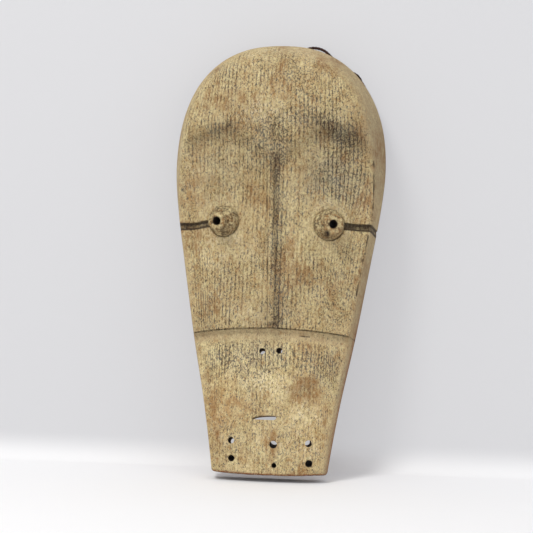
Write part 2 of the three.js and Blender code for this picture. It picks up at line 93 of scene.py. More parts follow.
BROW_HOLLOW = 9
BROW_DROP = 117
BROW_REACH = 62
BROW_SOFT = 22
BROW_INNER_DIP = 34
BROW_OUTER_DIP = 22
BROW_MARGIN = 6
NOSE_HALF = 7
NOSE_LEAN = 0.037
NOSE_FOOT = 1.6

# The last entry of an eye places the painted shadow under it: x and z from its axis, and strength.
EYES = {
    "left": {"x": -59, "drop": 225, "tip": 9.5, "splay": -17, "dip": 10, "under_shadow": (4, -15, 0.7)},
    "right": {"x": 64, "drop": 227, "tip": 11.5, "splay": 18, "dip": 8, "under_shadow": (-1, -13, 1.1)},
}
EYE_BORE = 4.5
EYE_BASE = 18
EYE_RISE = 20
EYE_SEAT = 5
EYE_SHANK = 13
EYE_REACH = 17
EYE_MOUND = 2.5
FIT_GAP = 0.3

GROOVE_HEIGHT = 8
GROOVE_DEPTH = 4
# The last entry of a groove is how dark the painted shade in its hollow is.
GROOVES = [
    {"side": -1, "start": 73, "drop": 230, "rise": 3.5, "fill": 0.75},
    {"side": 1, "start": 80, "drop": 228, "rise": 0.5, "fill": 0.9},
]

MOUTH_FALL = 0.07  # the slit falls a little as it goes in
MOUTH = {"x": -4.6, "drop": 450, "length": 28, "height": 6.2}
BEARD_RISE = math.tan(math.radians(18))
DRILLED = [
    {"x": -9.1, "drop": 374, "radius": 3.5, "lean": 0.02, "rise": -0.19},
    {"x": 10.4, "drop": 373, "radius": 3.4, "lean": 0.36, "rise": -0.02},
    {"x": -42, "drop": 476.5, "radius": 3.7, "lean": 0.12, "rise": -0.1},
    {"x": 7, "drop": 480, "radius": 4.3, "lean": 0, "rise": 0.26},
    {"x": 47, "drop": 477.5, "radius": 3.9, "lean": -0.24, "rise": 0.17},
    {"x": -41, "drop": 497, "radius": 3.7, "lean": 0.04, "rise": BEARD_RISE},
    {"x": 8.5, "drop": 503.5, "radius": 2.9, "lean": 0, "rise": BEARD_RISE},
    {"x": 48, "drop": 500, "radius": 4.1, "lean": -0.04, "rise": BEARD_RISE},
]

CORD_DIAMETER = 3.4
TUNNEL_RADIUS = 2.5
TUNNEL_OUT = np.array([97.5, 0, -54])
TUNNEL_IN = np.array([92.5, -17, -72])
KNOT_RADIUS = 5
KNOT_LENGTH = 8
TIE_RADIUS = 3.3
TIE_FROM = 0.8
TIE_TO = 0.85

# Route of the cord, as in the solid model.
CORD_ROUTE = [
    (-92.5, -17, -72), (-97.5, 0, -54), (-98.4, 3.2, -50.6), (-96.8, 4.8, -46), (-91, 4.6, -42),
    (-82, 3.6, -41), (-69, 1.5, -46), (-50, -1, -55), (-28, -2, -58), (-8, -1, -51), (8, 1.4, -31),
    (13, 3.2, -12), (19.5, 4, 4), (28, 4, 9.8), (38, 4, 11), (48.5, 4, 7.6), (60, 4, -2.8),
    (70, 4, -11), (80.4, 4, -18.3), (89.8, 4, -26.1), (97.2, 4.6, -35.2), (101, 4.9, -44.5),
    (98.9, 3.2, -50.6), (97.5, 0, -54), (92.5, -17, -72),
]

# ---- Surface of the carving ----

FLUTE_PITCH = 4.7  # distance between two chisel grooves
FLUTE_DEPTH = 0.55


def clamp01(t):
    return np.clip(t, 0.0, 1.0)


def smooth(t):
    t = clamp01(t)
    return t * t * (3 - 2 * t)


def mix(a, b, t):
    return a + (b - a) * t


def soft_min(a, b, size):
    overlap = np.maximum(size - np.abs(a - b), 0) / size
    return np.minimum(a, b) - overlap * overlap * size / 4


def half_width(drop):
    """Half width of the outline at a distance below the top of the dome."""
    drop = np.asarray(drop, float)
    rise = clamp01((DOME_HEIGHT - drop) / DOME_HEIGHT)
    dome = WIDTH / 2 * (1 - rise**DOME_POWER) ** (1 / DOME_POWER)
    t = clamp01((drop - DOME_HEIGHT) / (HEIGHT - DOME_HEIGHT))
    taper = (1 + SIDE_BEND) * t * t / (t + SIDE_BEND) + SIDE_HOLLOW * t * t * (1 - t)
    return np.where(drop < DOME_HEIGHT, dome, mix(WIDTH / 2, CHIN_WIDTH / 2, taper))


def inside_outline(x, drop):
    """Distance from a point to the outline: along its radius in the dome, straight across below it."""
    rise = np.maximum((DOME_HEIGHT - drop) / DOME_HEIGHT, 0)
    across = np.abs(x) / (WIDTH / 2)
    gauge = np.maximum((across**DOME_POWER + rise**DOME_POWER) ** (1 / DOME_POWER), 1e-6)
    in_dome = np.hypot(x, DOME_HEIGHT - drop) * (1 / gauge - 1)
    return np.where(drop < DOME_HEIGHT, in_dome, half_width(drop) - np.abs(x))


def step_drop(x):
    return STEP_DROP + STEP_ARCH * (x / half_width(STEP_DROP)) ** 2


def spline_run(points):
    """A Catmull-Rom curve through (drop, height) points, as a function that gives the height at a drop."""
    points = np.array(points, float)
    last = len(points) - 1
    t = np.linspace(0, last, 400)
    i = np.minimum(t.astype(int), last - 1)
    w = (t - i)[:, None]
    p0, p1, p2, p3 = (points[np.clip(i + k, 0, last)] for k in (-1, 0, 1, 2))
    v0, v1 = (p2 - p0) / 2, (p3 - p1) / 2
    curve = (2 * p1 - 2 * p2 + v0 + v1) * w**3 + (-3 * p1 + 3 * p2 - 2 * v0 - v1) * w**2 + v0 * w + p1
    return lambda drop: np.interp(drop, curve[:, 0], curve[:, 1])


chin_run = spline_run([
    (STEP_DROP, LIP_DEPTH),
    (mix(STEP_DROP, HEIGHT, 0.5), mix(LIP_DEPTH, CHIN_DEPTH, 0.42)),
    (HEIGHT, CHIN_DEPTH),
])
face_run = spline_run([
    (0, FOREHEAD_DEPTH - 8),
    (FOREHEAD_DROP / 2, FOREHEAD_DEPTH - 1),
    (FOREHEAD_DROP, FOREHEAD_DEPTH),
    (FOREHEAD_DROP + 50, mix(FOREHEAD_DEPTH, EYE_DEPTH, 0.5)),
    (FOREHEAD_DROP + 110, EYE_DEPTH),
    (STEP_DROP, LIP_DEPTH + STEP + NOSE_FOOT_RISE),
])


def brow_drop(x):
    away = (np.abs(x) - BROW_REACH) / BROW_REACH
    return BROW_DROP + np.where(away < 0, BROW_INNER_DIP, BROW_OUTER_DIP) * away * away


def nose_axis(drop):
    return NOSE_FOOT - NOSE_LEAN * (STEP_DROP - drop)


def brow_hollow(x, drop):
    """Depth carved away beside the nose and under the brows."""
    from_nose = np.abs(x - nose_axis(drop))
    beside = smooth((from_nose - 1) / NOSE_HALF)
    under = smooth((drop - brow_drop(x)) / BROW_SOFT)
    low = smooth((drop - BROW_DROP) / (STEP_DROP - BROW_DROP))
    depth = mix(BROW_HOLLOW, NOSE_FOOT_RISE, low)
    shoulder = smooth((inside_outline(x, drop) - BROW_MARGIN) / BROW_SOFT)
    return depth * beside * under * mix(shoulder, 1, low)


def from_eye(eye, x, drop):
    return np.hypot(x - eye["x"], drop - eye["drop"])


def eye_mound(x, drop):
    raised = 0
    for eye in EYES.values():
        away = from_eye(eye, x, drop)
        raised = raised + EYE_MOUND * (1 - smooth((away - EYE_BASE) / EYE_BASE))
    return raised


def lowness(drop):
    return clamp01((drop - DOME_HEIGHT) / (HEIGHT - DOME_HEIGHT))


def steepness(drop):
    return smooth((drop - DOME_HEIGHT) / STEEP_RUN)


def wall_depth(inside, drop, slope_scale):
    """Side wall: rises steeply from the rim below the dome and as a quarter ellipse at the top."""
    slope = mix(SIDE_SLOPE, CHIN_SLOPE, steepness(drop)) * slope_scale
    straight = np.maximum(inside, 0) * slope
    run = clamp01(inside / DOME_RUN)
    round_wall = (FOREHEAD_DEPTH + 4) * np.sqrt(1 - (1 - run) ** 2)
    share = smooth((DOME_HEIGHT - drop) / DOME_HEIGHT)
    dome = mix(np.minimum(straight, 2 * FOREHEAD_DEPTH), round_wall, share)
    return np.where(drop >= DOME_HEIGHT, straight, dome)


def plain_depth(x, drop, step):
    run = np.where(step, face_run(np.minimum(drop, STEP_DROP)), chin_run(np.maximum(drop, STEP_DROP)))
    cross = mix(CROSS_DROP, CHIN_CROSS_DROP, lowness(drop))
    share = np.minimum(np.abs(x) / np.maximum(half_width(drop), 1), 1)
    return run - cross * share**CROSS_POWER


def front_depth(x, drop, step):
    carved = np.where(step, eye_mound(x, drop) - brow_hollow(x, drop), 0)
    face = plain_depth(x, drop, step) + carved
    wall = wall_depth(inside_outline(x, drop), drop, 1)
    return np.maximum(0, soft_min(face, wall, mix(WALL_ROUNDING, CHIN_ROUNDING, steepness(drop))))


def hollow_depth(x, drop):
    step = drop < STEP_DROP
    sunk = np.where(step, BROW_HOLLOW * smooth((drop - HOLLOW_SINK) / HOLLOW_RUN), 0)
    face = plain_depth(x, drop, step) - SHELL - sunk
    floor = (HEIGHT - CHIN_WALL - drop) / CHIN_SCOOP * (CHIN_DEPTH - SHELL)
    wall = wall_depth(inside_outline(x, drop) - RIM_WALL, drop, 1 - HOLLOW_FLARE)
    return np.maximum(0, soft_min(soft_min(face, wall, HOLLOW_ROUNDING), floor, SCOOP_ROUNDING))


def row_sag(drop, x):
    """Rows sag with the step's arch near it, and with the bowed chin edge at the bottom."""
    share = np.minimum(np.abs(x) / np.maximum(half_width(drop), 1), 1) ** 2
    near_step = 1 - smooth(np.abs(drop - STEP_DROP) / SAG_REACH)
    near_chin = smooth((drop - STEP_DROP) / (HEIGHT - STEP_DROP))
    return share * (STEP_ARCH * near_step - CHIN_BOW * near_chin)


# ---- Noise ----

LATTICE = np.random.default_rng(7).random((256, 256))


def noise(x, y, layer=0):
    """Smooth value noise from 0 to 1 over the plane; each layer is another pattern."""
    x = np.asarray(x, float) + layer * 37.17
    y = np.asarray(y, float) + layer * 91.73
    xi, yi = np.floor(x).astype(int), np.floor(y).astype(int)
    xf, yf = smooth(x - xi), smooth(y - yi)
    corner = lambda dx, dy: LATTICE[(xi + dx) % 256, (yi + dy) % 256]
    low = mix(corner(0, 0), corner(1, 0), xf)
    high = mix(corner(0, 1), corner(1, 1), xf)
    return mix(low, high, yf)


def fractal(x, y, layer=0, octaves=3):
    total, weight, size = 0, 0, 1.0
    for k in range(octaves):
        total = total + noise(x / size, y / size, layer + k * 5) * size
        weight += size
        size *= 0.5
    return total / weight


# ---- Chisel grooves ----


def flute_phase(x, drop):
    """Number of the chisel groove at a point: whole numbers lie along the grooves."""
    share = np.abs(x) / np.maximum(half_width(drop), 1)
    follow = smooth((np.abs(x) - 50) / 55) * smooth((share - 0.35) / 0.45)
    along_edge = np.sign(x) * (WIDTH / 2 - inside_outline(x, drop))
    spread = mix(x, along_edge, follow)
    wander = 1.6 * (fractal(x / 40, drop / 90, 3) - 0.5) * 2
    return (spread + wander) / FLUTE_PITCH


def fluted_share(x, drop):
    """Where the chisel grooves are cut: not on the side walls, around the eyes or on the lip."""
    inside = inside_outline(x, drop)
    smooth_band = np.where(x > 0, mix(20, 4, smooth((drop - 110) / 110)), mix(9, 3, lowness(drop)))
    share = smooth((inside - smooth_band) / 9)
    share = share * smooth((drop - 4) / 14)
    for eye in EYES.values():
        away = from_eye(eye, x, drop)
        share = share * mix(0.25, 1, smooth((away - EYE_BASE - 1) / 14))
    lip = drop - step_drop(x)
    share = share * np.where(lip > 0, mix(0.1, 1, smooth((lip - 9) / 10)), 1)
    calm = smooth((fractal(x / 38, drop / 55, 11) - 0.5) / 0.16)
    low_calm = smooth((drop - 392) / 20) * smooth(fractal(x / 26, drop / 34, 13) * 3 - 0.9)
    calm = np.maximum(calm, 0.8 * low_calm)
    return share * mix(1, 0.3, calm)


def fine_relief(x, drop):
    """Chisel grooves and the unevenness of hand carving, in millimetres out of the face."""
    phase = flute_phase(x, drop)
    nearest = np.round(phase)
    off = np.abs(phase - nearest) * 2
    strength = 0.55 + 0.9 * noise(nearest * 3.7, drop / 26, 21)
    groove = -FLUTE_DEPTH * strength * (1 - smooth(off / 0.85))
    uneven = 1.1 * (fractal(x / 34, drop / 46, 31) - 0.5)
    facets = 0.5 * (fractal(x / 9, drop / 17, 41) - 0.5)
    grain = 0.22 * (fractal(x / 2.2, drop / 5, 51) - 0.5)
    chips = -0.8 * smooth((noise(x / 4.5, drop / 5.5, 61) - 0.86) / 0.08)
    return groove * fluted_share(x, drop) + uneven + facets + grain + chips


# ---- Meshes ----


def mesh_object(name, points_mm, faces, smooth_faces=True):
    mesh = bpy.data.meshes.new(name)
    mesh.from_pydata((np.asarray(points_mm, float) * MM).tolist(), [], faces)
    mesh.update()
    if smooth_faces:
        mesh.shade_smooth()
    made = bpy.data.objects.new(name, mesh)
    bpy.context.scene.collection.objects.link(made)
    return made


def grid_faces(rows, columns, start=0, flip=False):
    i, j = np.meshgrid(np.arange(rows - 1), np.arange(columns - 1), indexing="ij")
    a = (start + i * columns + j).ravel()
    quads = np.stack([a, a + columns, a + columns + 1, a + 1], 1)
    return (quads[:, ::-1] if flip else quads).tolist()


def closed_block(name, front, back):
    """A closed block between two grids of points with the same rows and columns."""
    rows, columns, _ = front.shape
    size = rows * columns
    points = np.concatenate([front.reshape(-1, 3), back.reshape(-1, 3)])
    faces = grid_faces(rows, columns) + grid_faces(rows, columns, size, flip=True)
    border = [(i, 0) for i in range(rows)]
    border += [(rows - 1, j) for j in range(1, columns)]
    border += [(i, columns - 1) for i in range(rows - 2, -1, -1)]
    border += [(0, j) for j in range(columns - 2, 0, -1)]
    ring = [i * columns + j for i, j in border]
    for a, b in zip(ring, ring[1:] + ring[:1]):
        faces.append([a, a + size, b + size, b])
    return mesh_object(name, points, faces)


def weld(ob, distance_mm):
    """Merges doubled points and closes what collapses, so that the block is one clean body."""
    import bmesh

    mesh = bmesh.new()
    mesh.from_mesh(ob.data)
    bmesh.ops.remove_doubles(mesh, verts=mesh.verts, dist=distance_mm * MM)
    bmesh.ops.dissolve_degenerate(mesh, edges=mesh.edges, dist=distance_mm * MM * 0.1)
    bmesh.ops.recalc_face_normals(mesh, faces=mesh.faces)
    mesh.to_mesh(ob.data)
    mesh.free()


def spread_rows(length, fine, coarse, run):
    """Distances from 0 to a length, close together over the first stretch."""
    distances = [0.0]
    while distances[-1] < length - coarse * 0.6:
        share = min(distances[-1] / run, 1)
        distances.append(distances[-1] + mix(fine, coarse, share))
    distances.append(length)
    return np.array(distances)


ROW_STEP = 2.25
COLUMN_STEP = 1.15
CORNER_LEFT = 10  # rounding of the chin's two lower corners
CORNER_RIGHT = 4
CHIN_BEVEL = 2.5
RELIEF_START = 12  # height above the rim where the face's unevenness is at full strength
WELD = 0.02
HOLLOW_COLUMNS = 61
BEYOND = 20  # how far a cutter reaches past what it cuts
SOCKET_GAP = 0.06  # round the visible foot of an eye, where the solid model has FIT_GAP
HOLE_SIDES = 28
SOCKET_SIDES = 48
TUNNEL_SIDES = 16
EYE_SIDES = 96
KNOT_SIDES = 28
CORD_SIDES = 14
TIE_SIDES = 24


def outer_block():
    rows = spread_rows(STEP_DROP - 0.5, 0.25, ROW_STEP, 26)
    low = HEIGHT - spread_rows(HEIGHT - STEP_DROP - 0.5, 0.5, ROW_STEP, 12)[::-1]
    rows = np.concatenate([rows, low])
    half_run = spread_rows(WIDTH / 2, 0.42, COLUMN_STEP, 24) / (WIDTH / 2)
    shares = np.concatenate([half_run - 1, (1 - half_run)[::-1][1:]])
    drop = np.repeat(rows[:, None], len(shares), 1)
    corner = np.where(shares < 0, CORNER_LEFT, CORNER_RIGHT)[None, :]
    past = clamp01((drop - HEIGHT + corner) / corner)
    x = (half_width(drop) - corner * (1 - np.sqrt(1 - past**2)) * 0.9) * shares[None, :]
    step = drop < STEP_DROP
    depth = front_depth(x, drop, step)
    depth = np.maximum(depth + fine_relief(x, drop) * smooth(depth / RELIEF_START), 0)
    depth[:, 0] = depth[:, -1] = 0
    depth[0] = 0
    bevel = clamp01((drop - HEIGHT + CHIN_BEVEL) / CHIN_BEVEL)
    depth = np.maximum(depth - 2.6 * (1 - np.sqrt(1 - bevel**2)), 0)
    low_edge = 1.4 * (fractal(x[-1] / 9, x[-1] * 0, 71) - 0.5)
    z = TOP - drop - row_sag(drop, x)
    z += np.maximum(low_edge[None, :], 0) * smooth((drop - HEIGHT + 12) / 12)
    front = np.stack([x, -depth, z], -1)
    back = np.stack([x, depth * 0, z], -1)
    ob = closed_block("mask_carving", front, back)
    weld(ob, WELD)
    return ob


def across_wall(drop):
    """Half width of the hollow's outline at a row: where the rim wall ends inside the outline."""
    low, high = np.zeros_like(drop), half_width(drop)
    for _ in range(24):
        middle = (low + high) / 2
        inner = inside_outline(middle, drop) > RIM_WALL
        low, high = np.where(inner, middle, low), np.where(inner, high, middle)
    return low


def hollow_block():
    rows = RIM_WALL + spread_rows(HEIGHT - CHIN_WALL - RIM_WALL, 0.8, 5.5, 40)
    drop = np.repeat(rows[:, None], HOLLOW_COLUMNS, 1)
    shares = np.sin(np.linspace(-math.pi / 2, math.pi / 2, HOLLOW_COLUMNS))
    x = across_wall(drop) * shares[None, :]
    depth = hollow_depth(x, drop)
    adze = 1.8 * (fractal(x / 13, drop / 24, 81) - 0.5) + 0.5 * (fractal(x / 5, drop / 9, 91) - 0.5)
    depth = np.maximum(depth + adze * smooth(depth / 10), 0)
    depth[:, 0] = depth[:, -1] = 0
    depth[0] = 0
    z = TOP - drop
    front = np.stack([x, -depth, z], -1)
    back = np.stack([x, depth * 0 + 5, z], -1)
    ob = closed_block("hollow_cutter", front, back)
    weld(ob, WELD)
    return ob


def turned_mesh(name, profile, point, direction, sides, uneven=0, layer=0):
    """A closed lathe body about an axis; where the profile touches the axis it closes to a point."""
    axis = Vector(direction).normalized()
    turn = Vector((0, 0, 1)).rotation_difference(axis).to_matrix()
    points, rings = [], []
    angles = np.linspace(0, 2 * math.pi, sides, endpoint=False)
    for k, (radius, along) in enumerate(profile):
        if radius <= 0:
            rings.append([len(points)])
            points.append((0, 0, along))
            continue
        rings.append(list(range(len(points), len(points) + sides)))
        bump = uneven * (fractal(angles * 2.2 + 40, np.full(sides, along / 3.5), layer) - 0.5) * 2
        bump = mix(bump, bump[::-1], 0.5)
        for angle, extra in zip(angles, bump):
            points.append(((radius + extra) * math.cos(angle), (radius + extra) * math.sin(angle), along))
    faces = []
    loops = list(zip(rings, rings[1:]))
    if len(rings[0]) > 1:
        loops.append((rings[-1], rings[0]))
    for low, high in loops:
        for k in range(sides):
            n = (k + 1) % sides
            if len(low) == 1:
                faces.append([low[0], high[n], high[k]])
            elif len(high) == 1:
                faces.append([low[k], low[n], high[0]])
            else:
                faces.append([low[k], low[n], high[n], high[k]])
    placed = [tuple(turn @ Vector(p) + Vector(point)) for p in points]
    return mesh_object(name, placed, faces)


def rod(radius, start, end, step=40):
    rings = np.linspace(start, end, max(2, round((end - start) / step) + 1))
    return [(0, start)] + [(radius, float(along)) for along in rings] + [(0, end)]


def face_point(x, drop):
    depth = float(front_depth(np.float64(x), np.float64(drop), drop < step_drop(x)))
    return (x, -depth, TOP - drop)


def prism(name, outline_xz, low, high):
    """A closed prism: an outline in x and z between two places along y."""
    count = len(outline_xz)
    points = [(a, low, b) for a, b in outline_xz] + [(a, high, b) for a, b in outline_xz]
    faces = [list(range(count))[::-1], list(range(count, 2 * count))]
    for k in range(count):
        n = (k + 1) % count
        faces.append([k, n, n + count, k + count])
    return mesh_object(name, points, faces, smooth_faces=False)


def mouth_cutter():
    x, level, half = MOUTH["x"], TOP - MOUTH["drop"], MOUTH["height"] * 0.42
    start = np.array([x - MOUTH["length"] / 2, level - half / 2])
    bend = np.array([x - MOUTH["length"] / 4, level + half])
    end = np.array([x + MOUTH["length"] / 2 - 1.5, level + half])
    curve = [(1 - t) ** 2 * start + 2 * t * (1 - t) * bend + t * t * end for t in np.linspace(0, 1, 12)]
    outline = [tuple(p) for p in curve]
    outline += [(end[0] + 1.5, level + half * 0.3), (end[0] + 1.2, level - half * 0.5)]
    outline += [(end[0] - 1, level - half), (x - MOUTH["length"] / 3, level - half * 0.9)]
    cutter = prism("mouth_cutter", outline, -FOREHEAD_DEPTH, 1)
    for vertex in cutter.data.vertices:
        vertex.co.z -= MOUTH_FALL * (vertex.co.y + CHIN_DEPTH * MM)
    return cutter


def groove_cutter(groove):
    """Cutter for the U-shaped groove from an eye to the edge."""
    side, drop = groove["side"], groove["drop"]
    xs = np.linspace(groove["start"], float(half_width(drop)) + 3, 40)
    levels = np.linspace(-1, 1, 13)
    across, up = np.meshgrid(xs, levels, indexing="ij")
    rise = groove["rise"] * smooth((groove["start"] + 30 - across) / 40)
    deep = GROOVE_DEPTH * (1 - 0.45 * np.abs(up) ** 3) - 0.8 * np.exp(-((up / 0.35) ** 2))
    deep = deep + 0.8 * (fractal(across / 6, up * 3, 101) - 0.5)
    surface = front_depth(across * side, np.full(across.shape, float(drop)), True)
    floor = np.maximum(surface - deep, -1)
    width = GROOVE_HEIGHT / 2 * (0.85 + 0.25 * noise(across / 9, up * 0, 107))
    z = TOP - drop + rise + up * width
    front = np.stack([across * side, -floor, z], -1)
    back = np.stack([across * side, np.full(across.shape, -FOREHEAD_DEPTH - float(BEYOND)), z], -1)
    return closed_block(f"groove_cutter_{side}", front, back)


def eye_direction(eye):
    return (math.tan(math.radians(eye["splay"])), -1, -math.tan(math.radians(eye["dip"])))


def recalc(ob):
    import bmesh

    mesh = bmesh.new()
    mesh.from_mesh(ob.data)
    bmesh.ops.triangulate(mesh, faces=[f for f in mesh.faces if len(f.verts) > 4])
    bmesh.ops.recalc_face_normals(mesh, faces=mesh.faces)
    mesh.to_mesh(ob.data)
    mesh.free()
    return ob


def carve(ob, cutters):
    """Cuts each cutter from the block, one after another, and deletes the cutters."""
    for cutter in cutters:
        modifier = ob.modifiers.new("cut", "BOOLEAN")
        modifier.operation = "DIFFERENCE"
        modifier.object = cutter
        modifier.solver = "MANIFOLD"
        bpy.context.view_layer.update()
        cut = bpy.data.meshes.new_from_object(ob.evaluated_get(bpy.context.evaluated_depsgraph_get()))
        ob.modifiers.clear()
        old = ob.data
        ob.data = cut
        bpy.data.meshes.remove(old)
        bpy.data.objects.remove(cutter)


def mask_carving():
    ob = outer_block()
    cutters = [hollow_block()]
    for k, hole in enumerate(DRILLED):
        outward = (-hole["lean"], -1, -hole["rise"])
        profile = rod(hole["radius"], -80, 12, 0.8)
        point = face_point(hole["x"], hole["drop"])
        cutters.append(turned_mesh(f"drill_{k}", profile, point, outward, HOLE_SIDES))
    cutters.append(mouth_cutter())
    cutters += [groove_cutter(groove) for groove in GROOVES]
    for side, eye in EYES.items():
        point = face_point(eye["x"], eye["drop"])
        grown = [
            (0, -EYE_REACH - BEYOND),
            (EYE_SHANK + FIT_GAP, -EYE_REACH - BEYOND),
            (EYE_SHANK + FIT_GAP, -EYE_SEAT - FIT_GAP),
            (EYE_BASE + SOCKET_GAP, -EYE_SEAT - FIT_GAP),
            (EYE_BASE + SOCKET_GAP, 30),
            (0, 30),
        ]
        cutters.append(turned_mesh(f"socket_{side}", grown, point, eye_direction(eye), SOCKET_SIDES))
    for side in (-1, 1):
        mouth = TUNNEL_OUT * [side, 1, 1]
        run = TUNNEL_IN * [side, 1, 1] - mouth
        reach = float(np.linalg.norm(run))
        tunnel = rod(TUNNEL_RADIUS, -reach / 2, reach * 1.5)
        cutters.append(turned_mesh(f"tunnel_{side}", tunnel, mouth, run, TUNNEL_SIDES))
    carve(ob, [recalc(cutter) for cutter in cutters])
    return ob


# ---- Zones of colour, wear and painted shade ----

# Marks at chosen places: amount, then x and drop of the middle, half width and half height of an ellipse,
# and its turn in degrees if it is turned.
MARKS = {
    # The ink marks along the brows add dark dashes as painted shade under the brows; the others set dark
    # pigment.
    "ink": [
        (0.28, 12, 58, 72, 34), (0.5, -4, 128, 34, 36), (0.5, 58, 112, 48, 15, 20),
        (0.35, 88, 130, 26, 30, 55), (0.25, -55, 114, 40, 8, -12), (0.5, -30, 383, 58, 27),
        (0.35, 62, 385, 42, 30), (0.3, 70, 170, 44, 52), (0.2, 60, 300, 44, 40),
        (0.2, -62, 55, 30, 26), (-0.25, 20, 425, 44, 22), (-0.18, -60, 240, 40, 40),
    ],
    "warm": [
        (1.6, 40, 416, 24, 20, 20), (0.9, 19, 247, 10, 14), (0.5, 62, 455, 18, 46),
        (0.6, -58, 455, 20, 56), (-0.8, -30, 385, 70, 44), (0.5, -34, 440, 26, 18),
        (0.4, 10, 480, 30, 16), (0.3, -52, 120, 50, 10, -6), (0.4, -100, 190, 24, 60),
        (0.35, 16, 300, 24, 46), (0.5, -5, 345, 26, 7),
    ],
    # The grey mark along the right brow is painted shade under the brow; the others are a grey cast.
    "grey": [
        (0.8, 66, 176, 46, 46), (0.55, -20, 380, 74, 26), (0.5, 74, 385, 36, 30),
        (0.3, 66, 120, 50, 22), (0.35, -70, 170, 44, 50),
    ],
    "pale": [
        (0.6, -6, 100, 60, 22), (0.9, 2, 412, 34, 20), (0.7, 44, 446, 34, 16),
        (0.6, 20, 20, 90, 26), (0.4, -30, 330, 50, 40), (0.4, 30, 470, 60, 30),
        (0.45, -62, 262, 36, 40), (0.5, 21, 113, 3, 16),
    ],
    "burn": [
        (1.3, 40, 412, 21, 15, -38), (0.8, 52, 424, 14, 12, -60), (0.7, 18, 249, 9, 11),
        (0.6, 66, 445, 8, 34, 8), (0.55, -64, 440, 9, 44, -8), (0.5, 96, 120, 14, 20, -30),
        (0.5, -38, 436, 22, 10), (0.45, -96, 150, 14, 34, 10),
    ],
    # Speckled dark brown: painted shade at the nose root, along the brows and at the nose's foot, and stain
    # on the chin and beside the nose.
    "shade_and_stain": [
        (0.6, 4, 152, 20, 30), (0.45, 0, 120, 40, 20), (0.85, 72, 126, 26, 14, 38),
        (0.6, 48, 110, 34, 10, 8), (0.5, 96, 118, 26, 8, 25), (0.5, -56, 117, 30, 7, -8),
        (0.5, 40, 416, 20, 14, -30), (0.4, 10, 340, 22, 9), (0.3, 21, 250, 9, 9),
    ],
    # Tone factor: the darker cheeks and brows are painted shade; the darker patch on the chin is a stain,
    # the chin is paler, the nose root darker.
    "tone_and_shade": [
        (-0.1, -60, 170, 60, 60), (-0.12, 66, 165, 60, 66), (-0.22, 66, 120, 40, 15, 20),
        (-0.14, -70, 122, 46, 10, -14), (-0.2, 38, 416, 27, 19, -15), (0.12, -44, 388, 60, 44),
        (-0.12, 4, 135, 26, 26), (0.09, 10, 390, 90, 60),
    ],
}
HALO = 22  # clean wood around an eye, from its axis
RIM_SKIN = 0.4  # wood this close to the rim's plane is bare
BEHIND_SKIN = 3.2  # and so is wood this close to the hollow
CUT_DEPTH = 2.4  # below the face, a wall of a hole gets painted shade from this depth
DRILLED_DEPTH = 0.9  # the same in a drilled hole


def bell(t):
    return np.exp(-(t**2))


def patch(x, drop, at_x, at_drop, half_x, half_drop, turn=0):
    """1 in the middle of an ellipse and 0 outside it."""
    angle = math.radians(turn)
    dx, dy = x - at_x, drop - at_drop
    along = dx * math.cos(angle) + dy * math.sin(angle)
    across = dy * math.cos(angle) - dx * math.sin(angle)
    return 1 - smooth(np.hypot(along / half_x, across / half_drop) * 0.8)


def marked(zone, x, drop):
    return sum(amount * patch(x, drop, *ellipse) for amount, *ellipse in MARKS[zone])


def drop_of(x, z):
    """Distance below the top for a point of the carved face, whose rows sag."""
    drop = TOP - z
    for _ in range(4):
        drop = TOP - z - row_sag(drop, x)
    return drop


def nose_span(drop):
    return smooth((drop - 140) / 14) * (1 - smooth((drop - STEP_DROP + 1) / 4))


def pigment_zones(x, drop, inside):
    """How much dark pigment, warm stain, grey cast, chalk and burnt brown lies where; the extra dark
    pigment on the nose's right slope and along the brows is painted shade.
    """
    ink = 0.42 + 0.5 * (fractal(x / 42, drop / 60, 201) - 0.5) + marked("ink", x, drop)
    # Painted shade: more dark dashes on the nose's right slope.
    beside_nose = bell((x - nose_axis(drop) - 7) / 9) * smooth((drop - 135) / 15) * (drop < STEP_DROP)
    ink = ink + 0.45 * beside_nose
    warm = 0.3 + fractal(x / 30, drop / 38, 211) - 0.45 + marked("warm", x, drop)
    warm = warm + 0.3 * smooth(1 - inside / 6)
    grey = 0.1 + 0.5 * (fractal(x / 36, drop / 44, 221) - 0.5) + marked("grey", x, drop)
    pale = 0.2 + 0.9 * (fractal(x / 24, drop / 30, 231) - 0.5) + marked("pale", x, drop)
    worn_spots = smooth((fractal(x / 26, drop / 40, 311) - 0.56) / 0.14)
    burn = marked("burn", x, drop) + 0.6 * worn_spots * (1 - patch(x, drop, -30, 385, 70, 50))
    burn = burn * mix(0.25, 1.25, smooth(fractal(x / 8, drop / 13, 341) * 2.2 - 0.6))
    for eye in EYES.values():
        ring = np.hypot(x - eye["x"], (drop - eye["drop"]) * 0.99)
        ink = ink * mix(0.55, 1, smooth((ring - HALO) / 16))
        pale = pale + 0.35 * (1 - smooth((ring - HALO) / 14))
    return ink, warm, grey, pale, burn


